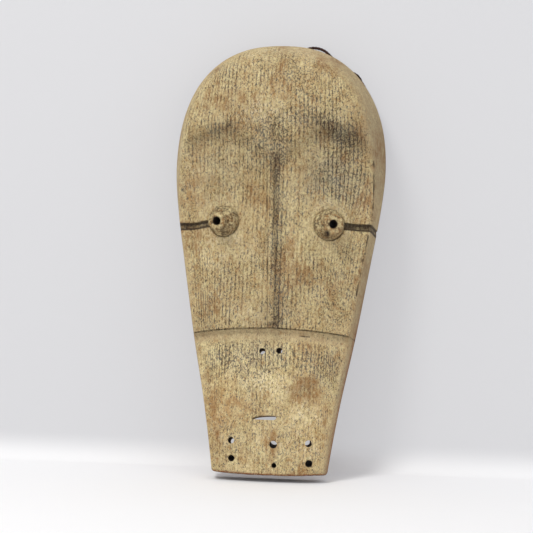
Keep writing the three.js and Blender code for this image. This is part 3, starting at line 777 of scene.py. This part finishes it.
def crease_shade_zone(x, drop, inside):
    """Painted shade in dark lines: under the step, along its hook and short mark, beside the nose and under
    its foot, under the left brow, along the right arris and round the foot of each eye, darker to its lower
    right.
    """
    step = bell((drop - STEP_DROP - 0.4) / 1.1) * mix(0.35, 0.9, noise(x / 6, x * 0, 241))
    below = (drop > STEP_DROP) & (drop < STEP_DROP + 14)
    hook = bell((x - 97 + (drop - 352) * 0.2) / 1.3) * below * 0.7
    short = bell((drop - 354.5) / 0.9) * (1 - smooth((np.abs(x - 39) - 5) / 3)) * 0.7
    nose_line = bell((x - nose_axis(drop) + 4.4) / 1.6) * nose_span(drop)
    nose_line = nose_line * mix(0.2, 0.75, noise(drop / 14, drop * 0, 261))
    foot = 0.6 * patch(x, drop, 0, 344, 16, 5)
    brow_line = bell((drop - brow_drop(x) + 4) / 1.8) * smooth((np.abs(x) - 58) / 14)
    brow_line = brow_line * (x < 0) * (1 - smooth((np.abs(x) - 104) / 6)) * 0.5
    arris = bell((inside - mix(14, 7.5, smooth((drop - 140) / 80))) / 1.3)
    arris = arris * (x > 0) * smooth((drop - 108) / 10) * (1 - smooth((drop - 300) / 20))
    arris = arris * mix(0.15, 0.95, noise(drop / 7, drop * 0, 271))
    crease_shade = np.maximum.reduce([step, hook, short, nose_line, foot, brow_line, arris])
    for eye in EYES.values():
        ring = np.hypot(x - eye["x"], (drop - eye["drop"]) * 0.99)
        # Painted shade at the foot of each eye, darker to its lower right.
        low_right = 0.3 + 0.35 * smooth((x - eye["x"] + drop - eye["drop"]) / 20)
        crease_shade = np.maximum(crease_shade, low_right * bell((ring - EYE_BASE - 0.4) / 1.3))
    return crease_shade


def tone_and_shade_zone(x, drop, wall):
    """Lighter and darker areas as a factor: random tone, a lighter chin and dome top, and painted shade on
    the cheeks, under the brows, on the nose's right slope and on the right side wall; the middle just above
    the step is darker too.
    """
    beside, nose = x - nose_axis(drop), nose_span(drop)
    tone_and_shade = 1 + marked("tone_and_shade", x, drop)
    tone_and_shade = tone_and_shade + 0.07 * smooth((drop - STEP_DROP - 4) / 12) + 0.07 * smooth((drop - 395) / 60)
    # Lighter at the top of the dome; painted shade on the right side wall.
    tone_and_shade = tone_and_shade + 0.06 * (1 - smooth((drop - 70) / 40)) - 0.1 * wall * (x > 60)
    tone_and_shade = tone_and_shade + 0.16 * (fractal(x / 20, drop / 30, 321) - 0.5)
    # Painted shade on the nose's right slope.
    tone_and_shade = tone_and_shade - 0.16 * bell((beside - 7) / 6) * nose * mix(0.5, 1, noise(drop / 12, drop * 0, 291))
    # Painted shade under the brows.
    brow = bell((drop - brow_drop(x) - 4) / 7) * smooth((np.abs(x) - 22) / 20)
    tone_and_shade = tone_and_shade - 0.16 * brow * (1 - smooth((np.abs(x) - 100) / 12))
    above_step = smooth((drop - 300) / 40) * (1 - smooth((drop - STEP_DROP) / 2))
    return tone_and_shade - 0.1 * above_step * smooth((30 - np.abs(x)) / 20)


def mask_zones(x, y, z):
    """What lies where on the mask: each zone becomes an attribute that the material reads."""
    drop = drop_of(x, z)
    inside = inside_outline(x, drop)
    depth = -y
    sunk = front_depth(x, drop, drop < STEP_DROP) - depth
    hollow = hollow_depth(x, TOP - z)
    within = np.abs(x) < np.interp(TOP - z, WALL_ROWS, WALL_ACROSS) + 0.6
    within = within & (TOP - z < HEIGHT - CHIN_WALL + 1)
    behind = (depth < hollow + BEHIND_SKIN) & within
    # Painted shade on the walls of holes, the slit and the sockets.
    cut_edge = (sunk > CUT_DEPTH) & ~behind
    drilled = np.zeros(x.shape, bool)
    for hole in DRILLED:
        near = np.hypot(x - hole["x"], TOP - z - hole["drop"]) < hole["radius"] + 1
        drilled = drilled | (near & (sunk > DRILLED_DEPTH) & ~behind)
    on_rim = (depth < RIM_SKIN) & ~behind
    sheer = mix(1, 0, behind)

    band = np.where(x > 0, mix(26, 8, smooth((drop - 110) / 110)), mix(12, 4, lowness(drop)))
    wall = (1 - smooth((inside - band * 0.4) / band)) * mix(1, 0.6, smooth((drop - 350) / 100))
    lip = smooth((drop - STEP_DROP) / 1.5) * (1 - smooth((drop - STEP_DROP - 9) / 8))
    ink, warm, grey, pale, burn = pigment_zones(x, drop, inside)
    nose_shade = bell((x - nose_axis(drop) - 5.5) / 5.2) * nose_span(drop)
    nose_shade = nose_shade * mix(0.5, 1.0, noise(drop / 9, drop * 0, 251))
    # Speckled dark brown: painted shade on the nose's right slope and at the brows, with stains.
    shade_and_stain = 0.8 * nose_shade + marked("shade_and_stain", x, drop)
    crease_shade = crease_shade_zone(x, drop, inside)
    for groove in GROOVES:
        side = groove["side"]
        rise = groove["rise"] * smooth((groove["start"] + 30 - x * side) / 40)
        level = np.abs(TOP - z + rise - groove["drop"])
        along = (x * side > groove["start"] - 4) & (level < GROOVE_HEIGHT / 2 + 3)
        # Painted shade along the groove's edges and in its hollow.
        edge = bell((level - GROOVE_HEIGHT * 0.36) / 1.8)
        fill = groove["fill"] * (level < GROOVE_HEIGHT / 2) * mix(0.6, 1, noise(x / 4, level, 281))
        crease_shade = np.where(along, np.maximum(edge, fill), crease_shade)
        cut_edge = cut_edge & ~along
    bottom = smooth((drop - HEIGHT + 3.2) / 2.4)
    edge = np.maximum(smooth(1 - inside / 3.5) * smooth((drop - 250) / 120) * 0.8, bottom) * sheer
    return {
        "phase": flute_phase(x, drop),
        "cut": fluted_share(x, drop) * sheer,
        "ink": clamp01(ink) * (1 - 0.75 * wall) * (1 - 0.8 * lip),
        "warm": clamp01(warm),
        "grey": clamp01(grey),
        "pale": clamp01(pale) * (1 - lip),
        "wall": clamp01(wall),
        "lip": lip * (1 - wall),
        "crease_shade": clamp01(crease_shade) * sheer,
        "shade_and_stain": clamp01(shade_and_stain) * sheer,
        "burn": clamp01(burn) * sheer * (1 - lip),
        "tone_and_shade": np.maximum(tone_and_shade_zone(x, drop, wall), 0),
        "edge": clamp01(edge) * (sunk < 2.6),
        "raw": (behind | on_rim) * 1.0,
        "bore_shade": (cut_edge | drilled) * 1.0,
    }


WALL_ROWS = np.linspace(0, HEIGHT, 400)
WALL_ACROSS = across_wall(WALL_ROWS)


def set_zones(ob, zones):
    for name, values in zones.items():
        layer = ob.data.attributes.new(name, "FLOAT", "POINT")
        layer.data.foreach_set("value", np.asarray(values, np.float32))


def points_of(ob):
    flat = np.empty(len(ob.data.vertices) * 3, np.float32)
    ob.data.vertices.foreach_get("co", flat)
    return flat.reshape(-1, 3).astype(float) / MM


# ---- Materials ----


def srgb(red, green, blue):
    """A linear colour from one given as it looks on a screen, 0 to 255."""
    linear = lambda c: c / 12.92 if c <= 0.04045 else ((c + 0.055) / 1.055) ** 2.4
    return (linear(red / 255), linear(green / 255), linear(blue / 255), 1)


class Wire:
    """What one step of a material gives out, with arithmetic."""

    def __init__(self, graph, socket):
        self.graph, self.socket = graph, socket

    def __add__(self, other):
        return self.graph.math("ADD", self, other)

    def __sub__(self, other):
        return self.graph.math("SUBTRACT", self, other)

    def __mul__(self, other):
        return self.graph.math("MULTIPLY", self, other)

    def ramp(self, low, high):
        """0 below low, 1 above high, smooth between; high may be the lower one."""
        inputs = {"Value": self, "From Min": low, "From Max": high}
        return self.graph.node("ShaderNodeMapRange", inputs, interpolation_type="SMOOTHSTEP")


class Graph:
    """A procedural material, made step by step."""

    def __init__(self, name):
        self.material = bpy.data.materials.new(name)
        self.material.use_nodes = True
        self.tree = self.material.node_tree
        self.shader = self.tree.nodes["Principled BSDF"]

    def feed(self, socket, value):
        value = value.socket if isinstance(value, Wire) else value
        if isinstance(value, bpy.types.NodeSocket):
            self.tree.links.new(value, socket)
        else:
            socket.default_value = value

    def node(self, kind, inputs, output=0, **settings):
        made = self.tree.nodes.new(kind)
        for key, value in settings.items():
            setattr(made, key, value)
        for key, value in inputs.items():
            self.feed(made.inputs[key], value)
        return Wire(self, made.outputs[output])

    def math(self, operation, *values):
        return self.node("ShaderNodeMath", dict(enumerate(values)), operation=operation)

    def blend(self, share, low, high, mode="MIX"):
        inputs = {0: share, 6: low, 7: high}
        return self.node("ShaderNodeMix", inputs, 2, data_type="RGBA", blend_type=mode)

    def zone(self, name):
        return self.node("ShaderNodeAttribute", {}, 2, attribute_name=name)

    def place(self, across=1.0, up=1.0):
        """Object coordinates in millimetres, stretched."""
        spot = self.node("ShaderNodeTexCoord", {}, 3)
        scale = (across / MM, across / MM, up / MM)
        return self.node("ShaderNodeVectorMath", {0: spot, 1: scale}, operation="MULTIPLY")

    def height_at(self):
        return self.node("ShaderNodeSeparateXYZ", {0: self.place()}, 2)

    def point(self, x, y, z):
        return self.node("ShaderNodeCombineXYZ", {0: x, 1: y, 2: z})

    def noise(self, where, scale, detail, rough):
        inputs = {"Vector": where, "Scale": scale, "Detail": detail, "Roughness": rough}
        return self.node("ShaderNodeTexNoise", inputs)

    def grain(self, across, up, scale, detail=2.0, rough=0.55):
        """Noise that is stretched along the mask's height where up is below across."""
        return self.noise(self.place(across, up), scale, detail, rough)

    def finish(self, colour, roughness, height, distance):
        self.feed(self.shader.inputs["Base Color"], colour)
        self.feed(self.shader.inputs["Roughness"], roughness)
        self.feed(self.shader.inputs["Specular IOR Level"], 0.25)
        inputs = {"Strength": 1.0, "Distance": distance * MM, "Height": height}
        self.feed(self.shader.inputs["Normal"], self.node("ShaderNodeBump", inputs))
        return self.material


# Also lighter streaks, and painted highlight on the chisel ridges.
RIDGE = srgb(218, 203, 158)
BASE_LIGHT = srgb(203, 184, 139)
BASE_DARK = srgb(176, 153, 107)
# Painted shade in the chisel grooves.
GROOVE = srgb(138, 118, 86)
INK = srgb(62, 58, 56)
INK_BLUE = srgb(86, 86, 84)
STAIN = srgb(158, 112, 60)
GREY = srgb(160, 149, 126)
CHALK = srgb(222, 206, 170)
# Painted shade in creases.
CREASE_SHADE = srgb(48, 38, 32)
LIP = srgb(180, 160, 128)
SIDE_WALL = srgb(178, 158, 124)
GRIT = srgb(118, 96, 64)
EYE_BROWN = srgb(146, 118, 82)
YELLOW = srgb(226, 212, 160)
# Painted shade and stain, speckled.
SHADE_AND_STAIN_BROWN = srgb(78, 58, 48)
BURNT = srgb(134, 90, 46)
RAW_WOOD = srgb(150, 112, 76)
RAW_DARK = srgb(104, 72, 46)
# Painted shade in holes.
BORE_SHADE = srgb(44, 32, 26)
EDGE = srgb(120, 66, 42)
CORD_LIGHT = srgb(74, 50, 42)
CORD_DARK = srgb(26, 19, 18)
CORD_RED = srgb(92, 48, 34)
TIE_LIGHT = srgb(58, 38, 34)
TIE_DARK = srgb(20, 15, 15)


def chalky_wood():
    """Chiselled light wood with chalk, dark pigment in the grooves, stains, and bare wood behind, with
    painted highlight on the chisel ridges and painted shade in the chisel grooves, creases and holes, on
    the nose's slope, under the brows and on the cheeks.
    """
    g = Graph("chalky_wood")
    cut, ink, shade_and_stain = g.zone("cut"), g.zone("ink"), g.zone("shade_and_stain")
    phase = g.zone("phase") + (g.grain(0.25, 0.05, 1.0, 2) - 0.5) * 0.35
    flute = g.math("ROUND", phase)
    off = g.math("ABSOLUTE", phase - flute) * 2.0
    fine = g.grain(1, 0.55, 0.55, 3, 0.7)
    streak = g.grain(0.9, 0.12, 0.8, 3, 0.65)
    blotch = g.grain(1, 0.7, 0.06, 3, 0.6)
    up = g.height_at()

    colour = g.blend(blotch.ramp(0.36, 0.64), BASE_DARK, BASE_LIGHT)
    colour = g.blend(streak.ramp(0.48, 0.7) * 0.5, colour, RIDGE)

    runs = g.noise(g.point(flute * 7.13, 3.0, up * 0.055), 1.0, 3, 0.6).ramp(0.36, 0.6)
    worn_off = g.grain(1, 0.6, 0.045, 3, 0.6).ramp(0.62, 0.42)
    drawn = cut * (runs * worn_off)
    jitter = (fine - 0.5) * 1.3
    # Painted highlight on the chisel ridges, with chalk, and painted shade in the chisel grooves.
    ridge = (off + jitter).ramp(0.55, 1.0) * (drawn * 0.6 + 0.25)
    colour = g.blend(ridge * 0.7, colour, RIDGE)
    groove = (off - jitter).ramp(0.5, 0.0) * drawn
    colour = g.blend(groove * 0.85, colour, GROOVE)

    grit = g.grain(1, 0.7, 0.5, 5, 0.9)
    colour = g.blend(grit.ramp(0.5, 0.6) * 0.72, colour, YELLOW)
    colour = g.blend(grit.ramp(0.49, 0.39) * 0.8, colour, GRIT)
    stain = g.grain(1, 0.6, 0.14, 4, 0.7).ramp(0.36, 0.66) * 0.75 + 0.25
    colour = g.blend(g.zone("warm") * stain * 0.75, colour, STAIN)
    cast = g.grain(1, 1, 0.11, 3, 0.6).ramp(0.3, 0.6)
    colour = g.blend(g.zone("grey") * cast * 0.6, colour, GREY)
    chalk = g.grain(1, 0.5, 0.35, 4, 0.75).ramp(0.46, 0.62)
    colour = g.blend(g.zone("pale") * chalk * 0.8, colour, CHALK)
    colour = g.blend(g.zone("wall") * 0.6, colour, SIDE_WALL)
    colour = g.blend(g.zone("lip") * 0.45, colour, LIP)

    dash = g.noise(g.point(flute * 5.37, 0.0, up * 0.12), 1.0, 4, 0.75)
    laid = (dash + ink * 0.36 - 0.66).ramp(-0.02, 0.06)
    narrow = (off - (fine - 0.5) * 1.8).ramp(0.34, 0.04)
    lines = laid * narrow * cut
    pigment = g.blend(blotch.ramp(0.4, 0.6), INK, INK_BLUE)
    colour = g.blend(lines * 0.8, colour, pigment)
    specks = (g.grain(1, 0.6, 0.7, 2, 0.6) + ink * 0.15).ramp(0.63, 0.69)
    colour = g.blend(specks * 0.8, colour, pigment)

    mottle = g.grain(1, 0.8, 0.16, 4, 0.75)
    colour = g.blend(mottle.ramp(0.54, 0.7) * 0.5, colour, YELLOW)
    colour = g.blend(mottle.ramp(0.46, 0.32) * 0.45, colour, STAIN)
    streaks = g.grain(0.8, 0.3, 0.32, 4, 0.75).ramp(0.38, 0.56)
    colour = g.blend(g.zone("burn") * streaks * 0.8, colour, BURNT)
    # Speckled dark brown: painted shade and stain.
    speckled_shade_and_stain = (g.grain(1, 0.75, 0.5, 4, 0.85) + shade_and_stain * 0.17 - 0.65).ramp(-0.03, 0.05)
    colour = g.blend(speckled_shade_and_stain * shade_and_stain.ramp(0.05, 0.3) * 0.8, colour, SHADE_AND_STAIN_BROWN)
    # Painted shade in the creases.
    crease_shading = (g.zone("crease_shade") + (fine - 0.5) * 0.9).ramp(0.25, 0.8)
    colour = g.blend(crease_shading * 0.88, colour, CREASE_SHADE)
    colour = g.blend(g.zone("edge") * fine.ramp(0.3, 0.55), colour, EDGE)

    # Tone and painted shade, as a factor.
    tone_and_shade = g.zone("tone_and_shade")
    shade = g.node("ShaderNodeCombineColor", {0: tone_and_shade, 1: tone_and_shade, 2: tone_and_shade})
    colour = g.blend(1.0, colour, shade, "MULTIPLY")
    # Painted shade in holes.
    colour = g.blend(g.zone("bore_shade"), colour, BORE_SHADE)
    bare = g.blend(g.grain(1, 0.06, 0.5, 4, 0.65).ramp(0.35, 0.68), RAW_DARK, RAW_WOOD)
    colour = g.blend(g.zone("raw"), colour, bare)
    return g.finish(colour, 0.86, grit * 1.2 + streak * 0.6 - lines * 0.4, 0.9)


def eye_wood():
    g = Graph("eye_wood")
    fine = g.grain(1, 1, 0.45, 4, 0.85)
    blotch = g.grain(1, 1, 0.13, 3, 0.6)
    colour = g.blend(blotch.ramp(0.4, 0.58), EYE_BROWN, BASE_LIGHT)
    colour = g.blend(fine.ramp(0.5, 0.62) * 0.75, colour, YELLOW)
    stain = g.grain(1, 1, 0.22, 3, 0.7).ramp(0.5, 0.62)
    colour = g.blend(stain * 0.55, colour, STAIN)
    pits = (fine - g.zone("ink") * 0.12).ramp(0.41, 0.32)
    colour = g.blend(pits * 0.85, colour, INK)
    # Painted shade with brown stain on the lower right of the cone.
    colour = g.blend(g.zone("low") * 0.4, colour, EYE_BROWN)
    # Painted shade at the foot ring, round the bore and under the eye.
    colour = g.blend(g.zone("crease_shade"), colour, CREASE_SHADE)
    # Painted shade inside the bore.
    colour = g.blend(g.zone("bore_shade"), colour, BORE_SHADE)
    return g.finish(colour, 0.86, fine - pits * 0.5, 1.0)


def cord_fibre(name, light, dark):
    g = Graph(name)
    strands = g.grain(1, 1, 1.3, 4, 0.7)
    tint = g.grain(1, 1, 0.18, 2)
    colour = g.blend(strands.ramp(0.4, 0.62), dark, light)
    colour = g.blend(tint.ramp(0.5, 0.62) * 0.5, colour, CORD_RED)
    return g.finish(colour, 0.8, strands, 0.4)


wood = chalky_wood()
mask = mask_carving()
set_zones(mask, mask_zones(*points_of(mask).T))
mask.data.materials.clear()
mask.data.materials.append(wood)
mask.data.polygons.foreach_set("material_index", [0] * len(mask.data.polygons))
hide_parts("mask_body")
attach(mask, "root")


# ---- Eyes ----


def eye_profile(eye):
    tip = eye["tip"]
    cone = lambda t: mix(EYE_BASE * 0.9, tip + 0.6, smooth(t * 0.5 + 0.5) * 2 - 1)
    profile = [(EYE_SHANK, -EYE_REACH), (EYE_SHANK, -EYE_SEAT - 1), (EYE_SHANK, -EYE_SEAT)]
    profile += [(EYE_BASE - 0.4, -EYE_SEAT), (EYE_BASE, -EYE_SEAT + 0.4), (EYE_BASE, -2), (EYE_BASE, 0.2)]
    profile += [(EYE_BASE - 0.25, 1.2), (EYE_BASE - 0.9, 2.4)]
    profile += [(float(cone(t)), mix(4, EYE_RISE - 1.6, t)) for t in np.linspace(0, 1, 16)]
    profile += [(tip + 0.3, EYE_RISE - 0.8), (tip - 0.4, EYE_RISE - 0.2), (tip - 1.6, EYE_RISE)]
    profile += [(mix(tip - 1.6, EYE_BORE + 1, t), EYE_RISE - 0.4 * t) for t in (0.33, 0.66, 1)]
    profile += [(EYE_BORE, EYE_RISE - 1.4), (EYE_BORE, 10), (EYE_BORE, 0), (EYE_BORE, -EYE_REACH)]
    return profile


def eye_tube(side, eye):
    point, direction = face_point(eye["x"], eye["drop"]), eye_direction(eye)
    profile = eye_profile(eye)
    ob = turned_mesh(f"eye_{side}", profile, point, direction, EYE_SIDES)
    recalc(ob)
    ob.data.shade_smooth()
    axis = np.array(Vector(direction).normalized())
    points = points_of(ob)
    rest = points - np.array(point)
    along = rest @ axis
    radius = np.linalg.norm(rest - along[:, None] * axis, axis=1)
    out = (rest - along[:, None] * axis) / np.maximum(radius, 0.01)[:, None]
    turn = np.arctan2(rest[:, 2], rest[:, 0])
    carved = smooth((along - 1.5) / 3) * smooth((radius - EYE_BORE - 1) / 2)
    layer = 301 if side == "left" else 331
    lumps = 2.2 * (fractal(points[:, 0] / 5, points[:, 2] / 5, layer) - 0.5)
    lumps += 1.1 * (fractal(points[:, 0] / 1.7, points[:, 2] / 1.7, layer + 7) - 0.5)
    moved = points + out * (lumps * carved)[:, None]
    low_foot = carved * 0.8 * (noise(turn * 1.6 + 20, along / 4, layer + 11) - 0.5)
    moved = moved + axis[None, :] * low_foot[:, None]
    ob.data.vertices.foreach_set("co", (moved * MM).astype(np.float32).ravel())
    face = smooth((along - EYE_RISE + 2) / 1.5)
    ring = bell(along - 0.6) * (radius > EYE_BASE - 3)
    bore_rim = bell((radius - EYE_BORE) / 0.8) * face * 0.8
    # Painted shadow under the eye, speckled.
    shadow_x, shadow_z, shadow_strength = eye["under_shadow"]
    under_shadow = shadow_strength * np.exp(-(((rest[:, 0] - shadow_x) / 3.6) ** 2) - ((rest[:, 2] - shadow_z) / 2.8) ** 2)
    under_shadow = under_shadow * smooth(fractal(points[:, 0] / 2.2, points[:, 2] / 2.2, layer + 23) * 3 - 0.7) * carved
    # The lower right of the cone gets painted shade with brown stain; the foot ring, the bore's rim and the
    # place under the eye get painted shade, and so does the inside of the bore.
    set_zones(ob, {
        "ink": 0.4 + 0.6 * (1 - face) * noise(turn * 2 + 9, along / 5, layer + 17),
        "low": clamp01((rest[:, 0] * 0.6 - rest[:, 2]) / 20),
        "crease_shade": clamp01(np.maximum.reduce([ring * 0.3, bore_rim * 0.6, under_shadow])),
        "bore_shade": ((radius < EYE_BORE + 0.3) & (along < EYE_RISE - 1)) * 1.0,
    })
    ob.data.materials.append(eye_material)
    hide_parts(f"eye_tube_{side}")
    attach(ob, "root")


eye_material = eye_wood()
for side, eye in EYES.items():
    eye_tube(side, eye)


# ---- Cord ----


def centripetal(points, per_span):
    """A centripetal Catmull-Rom curve through the points."""
    points = np.array(points, float)
    ends = [2 * points[0] - points[1], *points, 2 * points[-1] - points[-2]]
    curve = []
    for p0, p1, p2, p3 in zip(ends, ends[1:], ends[2:], ends[3:]):
        t0 = 0
        t1 = t0 + np.linalg.norm(p1 - p0) ** 0.5
        t2 = t1 + np.linalg.norm(p2 - p1) ** 0.5
        t3 = t2 + np.linalg.norm(p3 - p2) ** 0.5
        for t in np.linspace(t1, t2, per_span, endpoint=False):
            a1 = (t1 - t) / (t1 - t0) * p0 + (t - t0) / (t1 - t0) * p1
            a2 = (t2 - t) / (t2 - t1) * p1 + (t - t1) / (t2 - t1) * p2
            a3 = (t3 - t) / (t3 - t2) * p2 + (t - t2) / (t3 - t2) * p3
            b1 = (t2 - t) / (t2 - t0) * a1 + (t - t0) / (t2 - t0) * a2
            b2 = (t3 - t) / (t3 - t1) * a2 + (t - t1) / (t3 - t1) * a3
            curve.append((t2 - t) / (t2 - t1) * b1 + (t - t1) / (t2 - t1) * b2)
    curve.append(points[-1])
    return np.array(curve)


def even(curve, step):
    """The same curve with points at even distances, and its length."""
    steps = np.linalg.norm(np.diff(curve, axis=0), axis=1)
    run = np.concatenate([[0], np.cumsum(steps)])
    at = np.linspace(0, run[-1], int(run[-1] / step) + 1)
    return np.stack([np.interp(at, run, curve[:, k]) for k in range(3)], 1), run[-1]


def sweep(name, path, radius_at, sides):
    """A tube along a path with a frame that doesn't twist; radius_at(k, angles) gives each ring."""
    tangents = np.gradient(path, axis=0)
    tangents /= np.linalg.norm(tangents, axis=1)[:, None]
    normal = np.cross(tangents[0], [0, 1, 0])
    points, faces = [], []
    angles = np.linspace(0, 2 * math.pi, sides, endpoint=False)
    for k, (place, tangent) in enumerate(zip(path, tangents)):
        normal = normal - tangent * (normal @ tangent)
        normal /= np.linalg.norm(normal)
        side = np.cross(tangent, normal)
        radii = radius_at(k, angles)
        ring = place + (np.cos(angles) * radii)[:, None] * normal + (np.sin(angles) * radii)[:, None] * side
        points.extend(ring.tolist())
    for k in range(len(path) - 1):
        for j in range(sides):
            n = (j + 1) % sides
            a, b = k * sides, (k + 1) * sides
            faces.append([a + j, a + n, b + n, b + j])
    faces.append(list(range(sides))[::-1])
    faces.append([(len(path) - 1) * sides + j for j in range(sides)])
    return mesh_object(name, points, faces)


TWIST_LENGTH = 7.5  # one turn of the cord's two strands
PATH_STEP = 0.8

cord_path, cord_length = even(centripetal(CORD_ROUTE, 12), PATH_STEP)


def strand_radius(k, angles):
    turn = 2 * math.pi * k * PATH_STEP / TWIST_LENGTH
    lobes = np.abs(np.cos(angles - turn))
    shreds = 0.12 * (noise(angles * 1.9 + 3, np.full_like(angles, k * 0.7), 401) - 0.5)
    return CORD_DIAMETER / 2 * (0.72 + 0.3 * lobes**0.7) + shreds


cord = sweep("cord_strands", cord_path, strand_radius, CORD_SIDES)
recalc(cord)
cord.data.shade_smooth()
cord.data.materials.append(cord_fibre("cord_fibre", CORD_LIGHT, CORD_DARK))
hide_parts("hanging_cord")
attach(cord, "root")

for side, word in ((-1, "left"), (1, "right")):
    end = TUNNEL_IN * [side, 1, 1]
    run = end - TUNNEL_OUT * [side, 1, 1]
    run = run / np.linalg.norm(run)
    centre = end + run * (KNOT_LENGTH / 2 + FIT_GAP)
    half = KNOT_LENGTH / 2
    bulge = [(0, -half)]
    for a in np.linspace(0.25, math.pi - 0.25, 14):
        bulge.append((KNOT_RADIUS * math.sin(a) ** 0.6, -half * math.cos(a)))
    bulge.append((0, half))
    knot = turned_mesh(f"knot_{word}", bulge, centre, run, KNOT_SIDES, 0.6, 411 + side)
    recalc(knot)
    knot.data.shade_smooth()
    knot.data.materials.append(cord_fibre(f"knot_fibre_{word}", CORD_LIGHT, CORD_DARK))
    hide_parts(f"cord_knot_{word}")
    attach(knot, "root")


def tie_knot():
    """Two turns of cord round the cord, as one lumpy sleeve along its route."""
    steps = len(cord_path) - 1
    stretch = cord_path[int(TIE_FROM * steps):int(TIE_TO * steps) + 1]
    count = len(stretch)

    def radius_at(k, angles):
        share = k / (count - 1)
        ends = math.sin(math.pi * min(max(share, 0.04), 0.96)) ** 0.35
        coils = 0.45 * np.abs(np.sin(share * 3 * math.pi + angles * 0.5))
        return TIE_RADIUS * ends * (0.86 + 0.3 * coils)

    ob = sweep("tie_knot", stretch, radius_at, TIE_SIDES)
    recalc(ob)
    ob.data.shade_smooth()
    ob.data.materials.append(cord_fibre("tie_fibre", TIE_LIGHT, TIE_DARK))
    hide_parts("cord_tie_knot")
    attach(ob, "root")
    return ob


tie_knot()


# ---- Camera and stage ----

VIEW_AZIMUTH = 6
VIEW_ELEVATION = -9
VIEW_ROLL = 2.2
VIEW_DISTANCE = 1444.5
VIEW_TARGET = (-8.7, -33.7, -268.2)
FOCAL_SHARE = 1236.1 / 533
BACKDROP_GAP = 8  # backdrop behind the top of the rim
SHEET_REACH = 2600
SHEET_BEND = 34  # radius between floor and backdrop
SHEET_FLOOR = (0.9, 0.9, 0.91, 1)
SHEET_WALL = (0.28, 0.28, 0.285, 1)
SHEET_GLOW = (0.97, 0.97, 1.0, 1)
GLOW_STRENGTH = 0.42
SENSOR_WIDTH = 36
KEY_LIGHT = {"place": (-0.8, -1.7, 1.35), "size": 0.7, "power": 27, "colour": (1.0, 0.985, 0.955)}
FILL_LIGHT = {"place": (1.6, -1.6, 0.1), "size": 1.6, "power": 4, "colour": (0.96, 0.97, 1.0)}
LIT_POINT = (0, -0.04, -0.25)


def place_camera():
    azimuth, elevation, roll = (math.radians(a) for a in (VIEW_AZIMUTH, VIEW_ELEVATION, VIEW_ROLL))
    back = Vector((
        math.sin(azimuth) * math.cos(elevation),
        -math.cos(azimuth) * math.cos(elevation),
        math.sin(elevation),
    ))
    data = bpy.data.cameras.new("camera")
    data.sensor_width = SENSOR_WIDTH
    data.lens = SENSOR_WIDTH * FOCAL_SHARE
    camera = bpy.data.objects.new("camera", data)
    bpy.context.scene.collection.objects.link(camera)
    level = (-back).to_track_quat("-Z", "Y").to_matrix()
    turn = level @ Matrix.Rotation(roll, 3, "Z")
    place = (Vector(VIEW_TARGET) + back * VIEW_DISTANCE) * MM
    camera.matrix_world = Matrix.Translation(place) @ turn.to_4x4()
    bpy.context.scene.camera = camera


def place_stage():
    """A pale sheet under and behind the mask, which leans back on it: floor, curve and backdrop."""
    lean = math.radians(-VIEW_ELEVATION)
    up = np.array([0, -math.sin(lean), math.cos(lean)])
    back = np.array([0, math.cos(lean), math.sin(lean)])
    foot = np.array([0, 0, TOP - HEIGHT - CHIN_BOW - 0.5])
    reach = (HEIGHT + CHIN_BOW) * math.sin(lean) + BACKDROP_GAP
    profile = [(-SHEET_REACH, 0)]
    for a in np.linspace(0, math.pi / 2, 12):
        profile.append((reach - SHEET_BEND * (1 - math.sin(a)), SHEET_BEND * (1 - math.cos(a))))
    profile.append((reach, SHEET_REACH))
    points = []
    for x in (-SHEET_REACH, SHEET_REACH):
        points += [tuple(foot + back * run + up * rise + [x, 0, 0]) for run, rise in profile]
    count = len(profile)
    faces = [[k, k + count, k + count + 1, k + 1] for k in range(count - 1)]
    sheet = mesh_object("pale_sheet", points, faces)
    g = Graph("pale_sheet")
    wall = g.height_at().ramp(TOP - HEIGHT + 5, TOP - HEIGHT + 45)
    g.feed(g.shader.inputs["Base Color"], g.blend(wall, SHEET_FLOOR, SHEET_WALL))
    g.feed(g.shader.inputs["Roughness"], 0.95)
    g.feed(g.shader.inputs["Emission Color"], SHEET_GLOW)
    g.feed(g.shader.inputs["Emission Strength"], wall * GLOW_STRENGTH)
    clear = g.node("ShaderNodeBsdfTransparent", {})
    behind = g.node("ShaderNodeNewGeometry", {}, 6)
    either = g.node("ShaderNodeMixShader", {0: behind, 1: g.shader.outputs[0], 2: clear})
    g.feed(g.tree.nodes["Material Output"].inputs["Surface"], either)
    sheet.data.materials.append(g.material)


def area_light(name, place, size, power, colour):
    data = bpy.data.lights.new(name, "AREA")
    data.shape = "DISK"
    data.size = size
    data.energy = power
    data.color = colour
    light = bpy.data.objects.new(name, data)
    bpy.context.scene.collection.objects.link(light)
    light.location = place
    light.rotation_euler = (Vector(LIT_POINT) - Vector(place)).to_track_quat("-Z", "Y").to_euler()


def place_lights():
    area_light("key", **KEY_LIGHT)
    area_light("fill", **FILL_LIGHT)
    world = bpy.data.worlds.new("studio")
    world.use_nodes = True
    background = world.node_tree.nodes["Background"]
    background.inputs["Color"].default_value = (0.69, 0.69, 0.7, 1)
    background.inputs["Strength"].default_value = 1
    bpy.context.scene.world = world
    bpy.context.scene.view_settings.view_transform = "Standard"


place_camera()
place_stage()
place_lights()
